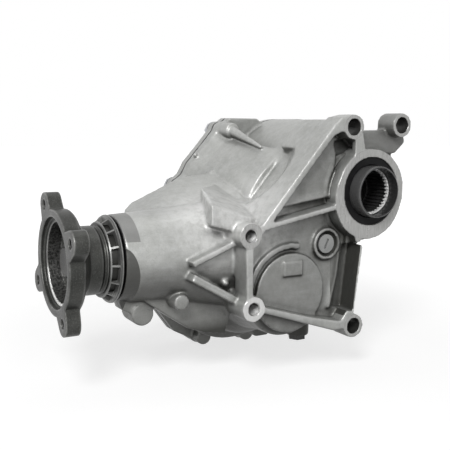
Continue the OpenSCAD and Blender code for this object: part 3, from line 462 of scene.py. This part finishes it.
def cast_aluminium():
    """Sand-grained grey casting with painted shade in its recesses, with cutter-marked machined
    faces.
    """
    coat = Finish("cast_aluminium")
    clouds = coat.noise(22.0, 5.0)
    mottle = coat.noise(140.0, 4.0, 0.65)
    grain = coat.noise(1300.0, 2.0, 0.7)
    streaks = coat.noise(240.0, 3.0, 0.6, stretch=(0.12, 1.0, 1.0))
    cutter = coat.noise(900.0, 2.0, 0.6, stretch=(1.0, 0.05, 0.12))
    bare = coat.paint(coat.ramp(clouds, (CAST_DARK, CAST_LIGHT)),
                      (coat.remap(mottle, 0.4, 0.7, 0.0, 0.5), CAST_MOTTLE),
                      (coat.remap(grain, 0.45, 0.75, 0.0, 0.42), CAST_GRAIN),
                      (coat.remap(streaks, 0.5, 0.75, 0.0, 0.35), CAST_STREAK))
    # Painted shade laid over the bare casting
    cast = coat.blend(unshaded(coat, mottle), PAINTED_SHADE, bare)
    z = coat.axis("Z")
    # Painted shade on the lowest surfaces, fading out towards the back
    shaded_underside = coat.product(coat.remap(z, UNDERSIDE_Z + 6 * MM, UNDERSIDE_Z - 4 * MM, 0.0, 1.0),
                             coat.above(coat.axis("Y"), UNDERSIDE_Y),
                             coat.remap(coat.axis("Y"), 70 * MM, 115 * MM, 1.0, 0.0))
    cast = coat.paint(cast, *cast_zones(coat, mottle, shaded_underside))
    dull = machined_faces(coat, RING_FACE
                          + circles_at(THROUGH_BOSSES + TAPPED_BOSSES[:1], BOSS_FACE_R))
    clean = machined_faces(coat, circles_at(TAPPED_BOSSES[1:], BOSS_FACE_R))
    machined = coat.math("MAXIMUM", dull, clean)
    cast = coat.paint(cast, (dull, coat.ramp(cutter, DULL_FACE)),
                      (clean, coat.ramp(cutter, CLEAN_FACE)))
    coat.give("Base Color", cast)
    coat.give("Metallic", 0.35)
    coat.give("Specular IOR Level", coat.math("SUBTRACT", 0.5, coat.product(shaded_underside, 0.4)))
    rough = coat.remap(clouds, 0.3, 0.7, 0.32, 0.46)
    coat.give("Roughness", coat.math("SUBTRACT", rough, coat.product(machined, 0.14)))
    unmachined = coat.math("SUBTRACT", 1.0, machined)
    coat.bump((coat.product(coat.noise(150.0, 3.0), unmachined), 0.5, 0.9 * MM),
              (coat.product(mottle, unmachined), 0.3, 0.5 * MM),
              (coat.product(grain, unmachined), 0.5, 0.16 * MM),
              (coat.product(streaks, unmachined), 0.2, 0.2 * MM),
              (cutter, 0.08, 0.05 * MM))
    return coat.material


def plain_steel(name, dark, light, metallic, smoothest, roughest):
    """Plain steel with a drifting tone, fine marks and uneven gloss."""
    coat = Finish(name)
    marks = coat.noise(900.0, 2.0, 0.65)
    coat.give("Base Color", coat.ramp(coat.noise(45.0, 4.0), (dark, light)))
    coat.give("Metallic", metallic)
    coat.give("Roughness", coat.remap(marks, 0.3, 0.7, smoothest, roughest))
    coat.bump((marks, 0.25, 0.05 * MM))
    return coat.material


def input_shaft_steel():
    """Blackened hardened shaft with a polished sheen and a painted sheen on its outer skin, bare and
    bright on the spline teeth's front ends, with painted light on the lit side of their flanks.
    """
    coat = Finish("shaft_steel")
    cutter = coat.noise(900.0, 2.0, 0.65, stretch=(1.0, 8.0, 1.0))
    radius = coat.distance_from((0.0, 0.0, 0.0), "XZ")
    black = coat.ramp(coat.noise(45.0, 4.0), ((0.03, 0.03, 0.031), (0.06, 0.06, 0.06)))
    # Painted sheen: the outer skin lighter than the bore
    black = coat.blend(coat.above(radius, NOSE_BORE_R), black, (0.11, 0.11, 0.11))
    bare = coat.ramp(cutter, ((0.8, 0.8, 0.8), (0.95, 0.95, 0.94)))
    teeth = coat.below(radius, SPLINE_ROOT_R)
    flanks = coat.product(teeth, coat.between(coat.axis("Y"), SPLINE_FRONT_Y - 0.2 * MM,
                                              SPLINE_FRONT_Y + 3.2 * MM))
    ends = coat.product(teeth, coat.near_plane("Y", SPLINE_FRONT_Y, 1.2 * MM))
    # Painted light: bare steel on the flanks' lit side only
    lit_side = coat.math("ADD", coat.remap(coat.facing("X"), 0.2, -0.9, 0.0, 0.9),
                         coat.remap(coat.facing("Z"), 0.1, 0.9, 0.0, 0.5), clamp=True)
    coat.give("Base Color", coat.paint(black, (coat.product(flanks, lit_side), bare), (ends, bare)))
    coat.give("Metallic", coat.math("SUBTRACT", 0.3, coat.product(flanks, 0.25)))
    coat.give("Roughness", coat.remap(cutter, 0.3, 0.7, 0.2, 0.34))
    coat.bump((cutter, 0.2, 0.05 * MM))
    return coat.material


def flange_iron():
    """Dark phosphated forging: pitted cup, rubbed face, worn edges, painted shade in its recesses and
    a painted highlight on the low side of the step in the cup.
    """
    coat = Finish("flange_iron")
    tone = coat.noise(60.0, 5.0)
    grain = coat.noise(1000.0, 3.0, 0.75)
    pits = coat.noise(520.0, 3.0, 0.8)
    radius = coat.distance_from((0.0, PINION_AXIS_Y, PINION_AXIS_Z), "YZ")
    x = coat.axis("X")
    cup = coat.math("MAXIMUM",
                    coat.product(coat.below(radius, CUP_R + 0.6 * MM),
                                 coat.below(x, FLANGE_FACE_X + 16.4 * MM)),
                    coat.product(coat.below(radius, CUP_R - 7 * MM),
                                 coat.below(x, FLANGE_FACE_X + 26 * MM)))
    worn = coat.product(coat.remap(coat.edges(), 0.508, 0.55, 0.0, 0.8),
                        coat.remap(tone, 0.35, 0.65, 0.3, 1.0))
    forged = coat.paint(coat.ramp(tone, FORGED),
                        (coat.remap(grain, 0.5, 0.75, 0.0, 0.5), FORGED_GRAIN),
                        (coat.near_plane("X", FLANGE_FACE_X, 0.4 * MM), coat.ramp(tone, RUBBED_FACE)),
                        (cup, coat.ramp(pits, PITTED_CUP, 0.42, 0.6)),
                        (worn, FLANGE_EDGE))
    # Painted shade in the recesses
    forged = coat.blend(coat.remap(coat.recess(9 * MM), 0.3, 0.9, 0.25, 1.0), FORGED_SHADE, forged)
    # Painted highlight: a bright line on the low side of the step in the cup
    low_side = coat.remap(coat.axis("Z"), PINION_AXIS_Z - 4 * MM, PINION_AXIS_Z - 26 * MM, 0.05, 1.0)
    step_highlight = coat.product(coat.within(radius, CUP_R + 1.0 * MM, 1.0 * MM),
                        coat.between(x, FLANGE_FACE_X + 0.5 * MM, FLANGE_FACE_X + 6 * MM), low_side)
    coat.give("Base Color", coat.blend(step_highlight, forged, STEP_HIGHLIGHT))
    coat.give("Metallic", 0.55)
    coat.give("Specular IOR Level", 0.3)
    coat.give("Roughness", coat.remap(grain, 0.3, 0.7, 0.28, 0.46))
    coat.bump((tone, 0.3, 0.5 * MM), (grain, 0.35, 0.1 * MM),
              (coat.product(pits, cup), 0.6, 0.7 * MM))
    return coat.material


def deflector_steel():
    """Plain pressed steel, with painted shade on the drum inside the windows."""
    coat = Finish("deflector_steel")
    tone = coat.noise(60.0, 4.0)
    marks = coat.noise(900.0, 2.0, 0.65)
    bare = coat.ramp(tone, ((0.13, 0.131, 0.126), (0.26, 0.261, 0.255)))
    radius = coat.distance_from((0.0, PINION_AXIS_Y, PINION_AXIS_Z), "YZ")
    drum = coat.below(radius, DEFLECTOR_DRUM_R)
    # Painted shade on the drum between the ribs
    coat.give("Base Color", coat.blend(drum, bare, (0.018, 0.018, 0.016)))
    coat.give("Metallic", 0.6)
    coat.give("Roughness", coat.remap(marks, 0.3, 0.7, 0.3, 0.46))
    coat.bump((tone, 0.2, 0.3 * MM), (marks, 0.25, 0.05 * MM))
    return coat.material


def seal_rubber():
    """Black nitrile rubber with a soft sheen."""
    coat = Finish("seal_rubber")
    tone = coat.noise(200.0, 3.0)
    coat.give("Base Color", coat.ramp(tone, ((0.006, 0.006, 0.0065), (0.012, 0.012, 0.0125))))
    coat.give("Specular IOR Level", 0.12)
    coat.give("Roughness", coat.remap(tone, 0.3, 0.7, 0.4, 0.55))
    coat.bump((coat.noise(1500.0, 2.0), 0.15, 0.05 * MM))
    return coat.material


def moulded_plastic():
    """Black moulded cap."""
    coat = Finish("breather_plastic")
    tone = coat.noise(300.0, 2.0)
    coat.give("Base Color", coat.ramp(tone, ((0.02, 0.02, 0.02), (0.035, 0.035, 0.035))))
    coat.give("Roughness", coat.remap(tone, 0.3, 0.7, 0.4, 0.55))
    coat.bump((coat.noise(1800.0, 2.0), 0.2, 0.05 * MM))
    return coat.material


def make_finishes():
    finishes = {name: plain_steel(name, *look) for name, look in PLAIN_STEELS.items()}
    finishes.update(cast_aluminium=cast_aluminium(), shaft_steel=input_shaft_steel(),
                    flange_iron=flange_iron(), deflector_steel=deflector_steel(),
                    seal_rubber=seal_rubber(), breather_plastic=moulded_plastic())
    return finishes


# Pieces


def placed(name, data):
    """A new object in the scene."""
    thing = bpy.data.objects.new(name, data)
    bpy.context.scene.collection.objects.link(thing)
    return thing


def merged_copy(node, name):
    """A welded copy of a CAD node's loose triangles, as a new object."""
    mesh = NODES[node].data.copy()
    work = bmesh.new()
    work.from_mesh(mesh)
    bmesh.ops.remove_doubles(work, verts=work.verts, dist=1e-6)
    work.to_mesh(mesh)
    work.free()
    return placed(name, mesh)


def settle(piece):
    """Replaces a piece's live modifiers by the mesh that they make."""
    view = bpy.context.evaluated_depsgraph_get()
    result = bpy.data.meshes.new_from_object(piece.evaluated_get(view))
    piece.modifiers.clear()
    piece.data = result
    return piece


def add_lump(work, centre, size):
    """A closed ball or flattened ball, in millimetres, melted into a casting by its remesh."""
    size = (size, size, size) if isinstance(size, (int, float)) else size
    place = Matrix.Translation(Vector(centre) * MM) @ Matrix.Diagonal((*(r * MM for r in size), 1.0))
    bmesh.ops.create_icosphere(work, subdivisions=3, radius=1.0, matrix=place)


def add_ridge(work, points, radius):
    """A rounded ridge along points, in millimetres."""
    steps = []
    for start, end in zip(points, points[1:]):
        count = max(1, int((Vector(end) - Vector(start)).length / (0.6 * radius)))
        steps += [Vector(start).lerp(Vector(end), i / count) for i in range(count)]
    for point in steps + [Vector(points[-1])]:
        add_lump(work, point, radius)


def block(outline, y_front, y_back):
    """A block under an outline in X and Z, between two depths, in millimetres, as a mesh."""
    work = bmesh.new()
    front = [work.verts.new(Vector((x, y_front, z)) * MM) for x, z in outline]
    back = [work.verts.new(Vector((x, y_back, z)) * MM) for x, z in outline]
    count = len(outline)
    faces = [work.faces.new(front), work.faces.new(back[::-1])]
    for i in range(count):
        after = (i + 1) % count
        faces.append(work.faces.new((front[i], back[i], back[after], front[after])))
    bmesh.ops.recalc_face_normals(work, faces=faces)
    mesh = bpy.data.meshes.new("block")
    work.to_mesh(mesh)
    work.free()
    return mesh


def round_outline(x, z, radius, count=40):
    turns = [2 * math.pi * i / count for i in range(count)]
    return [(x + radius * math.cos(turn), z + radius * math.sin(turn)) for turn in turns]


def carve(piece, outline, y_front, y_back):
    """Cuts a block out of a casting's copy."""
    tool = placed("tool", block(outline, y_front, y_back))
    cut = piece.modifiers.new("carve", "BOOLEAN")
    cut.operation = "DIFFERENCE"
    cut.solver = "EXACT"
    cut.object = tool
    settle(piece)
    bpy.data.objects.remove(tool)


def points_of(mesh):
    flat = np.empty(3 * len(mesh.vertices), np.float32)
    mesh.vertices.foreach_get("co", flat)
    return flat.reshape(-1, 3)


def put_points(mesh, points):
    mesh.vertices.foreach_set("co", points.astype(np.float32).ravel())
    mesh.update()


def sink_mouth_relief(mesh):
    """The relief at the lower front of the snout's mouth, a little below the cast wall."""
    wall_r, depth = 33.8 * MM, 1.1 * MM
    points = points_of(mesh)
    x, y, z = points.T
    inside = ((x - RELIEF_X) / RELIEF_LENGTH) ** 2 + ((z - RELIEF_Z) / RELIEF_HEIGHT) ** 2 < 1.0
    across = np.hypot(y - PINION_AXIS_Y, z - PINION_AXIS_Z)
    inside &= (y < PINION_AXIS_Y) & (across > wall_r)
    scale = 1.0 - depth / across[inside]
    points[inside, 1] = PINION_AXIS_Y + (y[inside] - PINION_AXIS_Y) * scale
    points[inside, 2] = PINION_AXIS_Z + (z[inside] - PINION_AXIS_Z) * scale
    put_points(mesh, points)


def melt(piece, spots, passes):
    """Smooths a skin further round some places, as (point, radius) in millimetres."""
    points = points_of(piece.data)
    group = piece.vertex_groups.new(name="melted")
    for centre, radius in spots:
        away = np.linalg.norm(points - np.array(centre) * MM, axis=1) / (radius * MM)
        for reach, weight in SOFT_STEPS:
            group.add(np.nonzero(away < reach)[0].tolist(), weight, "ADD")
    smooth = piece.modifiers.new("melt", "SMOOTH")
    smooth.factor = 0.5
    smooth.iterations = passes
    smooth.vertex_group = group.name
    settle(piece)


def remesh(piece, cell):
    skin = piece.modifiers.new("cast skin", "REMESH")
    skin.mode = "VOXEL"
    skin.voxel_size = cell * 1.0
    settle(piece)


def soften(piece, passes, most_triangles):
    """Rounds the edges of a dense skin and brings it under a number of triangles."""
    smooth = piece.modifiers.new("soften", "SMOOTH")
    smooth.factor = 0.5
    smooth.iterations = passes
    triangles = 2 * len(piece.data.polygons)
    if triangles > most_triangles:
        thin = piece.modifiers.new("thin", "DECIMATE")
        thin.ratio = most_triangles / triangles
    settle(piece)
    piece.data.shade_smooth()


def flatten_machined(mesh):
    """Brings the machined faces back into the mounting plane, and keeps all behind it."""
    rim, reach = 0.3, 0.45 * MM
    points = points_of(mesh)
    flat = np.zeros(len(points), bool)
    for x, z, radius in RING_FACE + circles_at(THROUGH_BOSSES + TAPPED_BOSSES, BOSS_FACE_R):
        flat |= np.hypot(points[:, 0] - x * MM, points[:, 2] - z * MM) < (radius + rim) * MM
    points[flat & (np.abs(points[:, 1]) < reach), 1] = 0.0
    points[:, 1] = np.maximum(points[:, 1], 0.0)
    put_points(mesh, points)


def cast_case():
    """The main casting: soft cast edges, ridges and nubs, and its deep pockets."""
    piece = merged_copy("main_case", "case_casting")
    for cut in CASE_CUTS + [(round_outline(*PLUG_RECESS), *PLUG_RECESS_DEPTHS)]:
        carve(piece, *cut)
    work = bmesh.new()
    work.from_mesh(piece.data)
    for weld in CASE_WELDS + [(round_outline(*STUB), *STUB_DEPTHS)]:
        work.from_mesh(block(*weld))
    for points, radius in CASE_RIDGES:
        add_ridge(work, points, radius)
    for centre, size in CASE_LUMPS:
        add_lump(work, centre, size)
    work.to_mesh(piece.data)
    work.free()
    remesh(piece, CASE_CELL)
    melt(piece, SOFT_SPOTS, 40)
    sink_mouth_relief(piece.data)
    soften(piece, 12, CASE_TRIANGLES)
    flatten_machined(piece.data)
    return piece


def rounded_copy(node, name, cell, passes, most_triangles):
    """A copy of a node with soft edges."""
    piece = merged_copy(node, name)
    remesh(piece, cell)
    soften(piece, passes, most_triangles)
    return piece


def turned(work, profile, steps=96):
    """A ring turned about the pinion axis from a closed outline of (x, radius) points."""
    rings = []
    for i in range(steps):
        angle = 2 * math.pi * i / steps
        across, up = math.cos(angle), math.sin(angle)
        rings.append([work.verts.new((x, PINION_AXIS_Y + r * across, PINION_AXIS_Z + r * up))
                      for x, r in profile])
    faces = []
    for i in range(steps):
        here, there = rings[i], rings[(i + 1) % steps]
        for k in range(len(profile)):
            after = (k + 1) % len(profile)
            faces.append(work.faces.new((here[k], here[after], there[after], there[k])))
    bmesh.ops.recalc_face_normals(work, faces=faces)


def new_tree(name, inputs, result):
    """A Geometry Nodes tree with named inputs, as {name: kind}; gives it and its inputs."""
    tree = bpy.data.node_groups.new(name, "GeometryNodeTree")
    for label, kind in inputs.items():
        tree.interface.new_socket(name=label, in_out="INPUT", socket_type="NodeSocket" + kind)
    tree.interface.new_socket(name=result, in_out="OUTPUT", socket_type="NodeSocketGeometry")
    return tree, tree.nodes.new("NodeGroupInput").outputs


def end_tree(tree, points, shape, angles, material, result):
    """Ends a tree: a shape at each point, turned, made plain mesh and given its material."""
    turn = add_node(tree, "FunctionNodeEulerToRotation", {0: angles})
    copies = add_node(tree, "GeometryNodeInstanceOnPoints",
                      {"Points": points, "Instance": shape, "Rotation": turn.outputs[0]})
    solid = add_node(tree, "GeometryNodeRealizeInstances", {"Geometry": copies.outputs["Instances"]})
    metal = add_node(tree, "GeometryNodeSetMaterial",
                     {"Geometry": solid.outputs["Geometry"], "Material": material})
    add_node(tree, "NodeGroupOutput", {result: metal.outputs["Geometry"]})


def grown(name, mesh, tree, sizes):
    """A tree's result on a mesh, with its inputs by name, as one plain mesh."""
    piece = placed(name, mesh)
    growth = piece.modifiers.new(tree.name, "NODES")
    growth.node_group = tree
    for socket in tree.interface.items_tree:
        if socket.in_out == "INPUT" and socket.name in sizes:
            growth[socket.identifier] = sizes[socket.name]
    return settle(piece)


def rib_tree():
    """Geometry Nodes: copies of a rib, turned evenly about the X axis."""
    tree, given = new_tree("ribs_around", {"Rib": "Geometry", "Count": "Int", "Step": "Vector",
                                           "Metal": "Material"}, "Ribs")
    places = add_node(tree, "GeometryNodeMeshLine",
                      {"Count": given["Count"], "Offset": (0.0, 0.0, 0.0)})
    index = add_node(tree, "GeometryNodeInputIndex")
    angles = add_node(tree, "ShaderNodeVectorMath",
                      {0: given["Step"], "Scale": index.outputs[0]}, operation="SCALE")
    end_tree(tree, places.outputs["Mesh"], given["Rib"], angles.outputs[0], given["Metal"], "Ribs")
    return tree


def rib(front, back, foot, front_top, back_top):
    """One rib of the deflector on the X axis, from its foot to a top that rises to the back."""
    half = DEFLECTOR_RIB / 2
    corners = [(x, side * half, r) for x, top in ((front, front_top), (back, back_top))
               for side, r in ((-1, foot), (1, foot), (1, top), (-1, top))]
    mesh = bpy.data.meshes.new("rib")
    mesh.from_pydata(corners, [], [(3, 2, 1, 0), (4, 5, 6, 7), (0, 1, 5, 4), (1, 2, 6, 5),
                                   (2, 3, 7, 6), (3, 0, 4, 7)])
    return mesh


def deflector(finishes):
    """The dust deflector: a cone of ribs between two rims, round a dark drum."""
    low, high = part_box("dust_deflector")
    outer = (high.z - low.z) / 2
    front, back = low.x, high.x
    drum, tip = outer - 7.6 * MM, outer - 5.4 * MM
    mesh = rib(front + 0.4 * MM, back - 1.0 * MM, drum - 0.4 * MM, tip, outer - 0.9 * MM)
    ribs = grown("deflector_ribs", mesh, rib_tree(), {
        "Count": DEFLECTOR_RIBS, "Step": (2 * math.pi / DEFLECTOR_RIBS, 0.0, 0.0),
        "Metal": finishes["deflector_steel"]})
    front_rim = [(front, drum), (front, tip - 0.6 * MM), (front + 0.5 * MM, tip + 0.2 * MM),
                 (front + 1.4 * MM, tip + 0.6 * MM), (front + 1.6 * MM, drum)]
    back_rim = [(back - 2.4 * MM, drum), (back - 2.4 * MM, outer - 1.2 * MM),
                (back - 1.9 * MM, outer - 0.5 * MM), (back - 1.5 * MM, outer - 0.9 * MM),
                (back - 1.1 * MM, outer - 0.1 * MM), (back - 0.2 * MM, outer),
                (back, outer - 0.4 * MM), (back, drum)]
    drum_wall = [(front + 0.2 * MM, drum - 0.8 * MM), (front + 0.2 * MM, drum + 0.3 * MM),
                 (back - 0.3 * MM, drum + 1.6 * MM), (back - 0.3 * MM, drum - 0.8 * MM)]
    work = bmesh.new()
    work.from_mesh(ribs.data)
    bmesh.ops.rotate(work, verts=work.verts, cent=(0, 0, 0),
                     matrix=Matrix.Rotation(DEFLECTOR_TURN, 3, "X"))
    bmesh.ops.translate(work, verts=work.verts, vec=(0.0, PINION_AXIS_Y, PINION_AXIS_Z))
    for profile in (front_rim, back_rim, drum_wall):
        turned(work, profile)
    work.to_mesh(ribs.data)
    work.free()
    dress(ribs, "pinion_set", "deflector_steel", finishes, "dust_deflector")


def thread_tree():
    """Geometry Nodes: a helix of thread ridges at each point of a mesh, turned into its hole."""
    tree, given = new_tree("thread_turns", {
        "Holes": "Geometry", "Hole radius": "Float", "Length": "Float", "Pitch": "Float",
        "Ridge": "Float", "Turn": "Vector", "Metal": "Material"}, "Threads")
    turns = add_node(tree, "ShaderNodeMath", {0: given["Length"], 1: given["Pitch"]},
                     operation="DIVIDE")
    helix = add_node(tree, "GeometryNodeCurveSpiral", {
        "Resolution": 24, "Rotations": turns.outputs[0], "Start Radius": given["Hole radius"],
        "End Radius": given["Hole radius"], "Height": given["Length"]})
    ridge = add_node(tree, "GeometryNodeCurvePrimitiveCircle",
                     {"Resolution": 4, "Radius": given["Ridge"]})
    sweep = add_node(tree, "GeometryNodeCurveToMesh", {
        "Curve": helix.outputs["Curve"], "Profile Curve": ridge.outputs["Curve"],
        "Fill Caps": True})
    end_tree(tree, given["Holes"], sweep.outputs["Mesh"], given["Turn"], given["Metal"], "Threads")
    return tree


def threads(name, holes, tree, sizes):
    """Thread ridges in a row of holes."""
    mesh = bpy.data.meshes.new(name)
    mesh.from_pydata(holes, [], [])
    return grown(name, mesh, tree, sizes)


def tapped_holes(finishes):
    tree = thread_tree()
    case = threads("case_threads", [(x * MM, 0.8 * MM, z * MM) for x, z in TAPPED_BOSSES], tree, {
        "Hole radius": TAPPED_HOLE_R, "Length": 20 * MM, "Pitch": 1.5 * MM, "Ridge": 0.5 * MM,
        "Turn": (-math.pi / 2, 0.0, 0.0), "Metal": finishes["cast_aluminium"]})
    dress(case, "housing", "cast_aluminium", finishes)
    lugs = []
    for i in range(4):
        angle = math.radians(LUG_TURN + 90 * i)
        lugs.append((FLANGE_FACE_X + 0.6 * MM, PINION_AXIS_Y + LUG_CIRCLE_R * math.sin(angle),
                     PINION_AXIS_Z - LUG_CIRCLE_R * math.cos(angle)))
    flange = threads("flange_threads", lugs, tree, {
        "Hole radius": LUG_HOLE_R, "Length": 10.6 * MM, "Pitch": 1.25 * MM, "Ridge": 0.4 * MM,
        "Turn": (0.0, math.pi / 2, 0.0), "Metal": finishes["flange_iron"]})
    dress(flange, "pinion_set", "flange_iron", finishes)


def dress(piece, body, slot_name, finishes, *replaced):
    """Gives a piece its finish, its body and its slot, and hides the CAD nodes that it replaces."""
    piece.data.materials.clear()
    piece.data.materials.append(finishes[slot_name])
    if replaced:
        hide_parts(*replaced)
    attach(piece, body)


def finish_frame_nodes(finishes):
    """Gives every CAD node its slot's finish, and three pieces a darker one."""
    slots = {row["node"]: row["material_slot"] for row in frame["record"]["subparts"]}
    slots.update(dict.fromkeys(("pinion_nut", "drain_plug", "pinion_shaft"), "dark_steel"))
    for name, node in NODES.items():
        node.data.materials.clear()
        node.data.materials.append(finishes[slots[name]])


# Stage


def camera():
    data = bpy.data.cameras.new("camera")
    data.lens = CAMERA_LENS
    data.sensor_width = CAMERA_FILM
    data.clip_start = 0.01
    turn, rise, roll = (math.radians(a) for a in (CAMERA_TURN, CAMERA_RISE, CAMERA_ROLL))
    back = Vector((math.sin(turn) * math.cos(rise), -math.cos(turn) * math.cos(rise),
                   math.sin(rise)))
    right = Vector((math.cos(turn), math.sin(turn), 0.0))
    up = back.cross(right)
    right, up = (right * math.cos(roll) + up * math.sin(roll),
                 up * math.cos(roll) - right * math.sin(roll))
    body = placed("camera", data)
    axes = Matrix((right, up, back)).transposed().to_4x4()
    body.matrix_world = Matrix.Translation(CAMERA_EYE) @ axes
    bpy.context.scene.camera = body


def softbox(name, place, size, power):
    """A round soft lamp that points at the unit's middle."""
    data = bpy.data.lights.new(name, "AREA")
    data.shape = "DISK"
    data.size = size
    data.energy = power
    lamp = placed(name, data)
    lamp.location = place
    lamp.rotation_euler = (Vector(MIDDLE) - Vector(place)).to_track_quat("-Z", "Y").to_euler()


def seen_white(tree, strength_unseen):
    """1 for camera, glossy and transmission rays, and the given strength for other light."""
    path = add_node(tree, "ShaderNodeLightPath").outputs
    seen = path["Is Camera Ray"]
    for ray in ("Is Glossy Ray", "Is Transmission Ray"):
        seen = add_node(tree, "ShaderNodeMath", {0: seen, 1: path[ray]},
                        operation="MAXIMUM").outputs[0]
    level = add_node(tree, "ShaderNodeMapRange",
                     {"Value": seen, "To Min": strength_unseen, "To Max": 1.0})
    return level.outputs["Result"]


def surroundings():
    world = bpy.data.worlds.new("studio")
    bpy.context.scene.world = world
    world.use_nodes = True
    tree = world.node_tree
    background = tree.nodes["Background"]
    feed(tree, background.inputs["Color"], (1.0, 1.0, 1.0))
    feed(tree, background.inputs["Strength"], seen_white(tree, WORLD_LIGHT))


def floor():
    low = CAD_BOX[0].z - FLOOR_GAP
    corners = [(side_x * FLOOR_HALF, side_y * FLOOR_HALF, low)
               for side_x, side_y in ((-1, -1), (1, -1), (1, 1), (-1, 1))]
    mesh = bpy.data.meshes.new("floor")
    mesh.from_pydata(corners, [], [(0, 1, 2, 3)])
    ground = placed("floor", mesh)
    coat = Finish("floor")
    coat.give("Base Color", coat.ramp(coat.noise(3.0), ((0.4, 0.4, 0.4), (0.42, 0.42, 0.42))))
    coat.give("Roughness", 0.9)
    coat.give("Emission Color", (1.0, 1.0, 1.0))
    glow = coat.remap(coat.distance_from(MIDDLE, "XY"), 0.2, 0.8, 0.72, 0.99)
    coat.give("Emission Strength", coat.product(seen_white(coat.tree, 0.0), glow))
    mesh.materials.append(coat.material)


def main():
    finishes = make_finishes()
    finish_frame_nodes(finishes)
    camera()
    for lamp in LAMPS:
        softbox(*lamp)
    surroundings()
    floor()
    dress(cast_case(), "housing", "cast_aluminium", finishes, "main_case")
    cover = rounded_copy("rear_cover", "cover_casting", COVER_CELL, 4, SMALL_TRIANGLES)
    dress(cover, "housing", "cast_aluminium", finishes, "rear_cover")
    flange = rounded_copy("output_flange", "flange_forging", FLANGE_CELL, 3, SMALL_TRIANGLES)
    dress(flange, "pinion_set", "flange_iron", finishes, "output_flange")
    deflector(finishes)
    tapped_holes(finishes)
    bpy.context.scene.view_settings.view_transform = "Standard"


main()
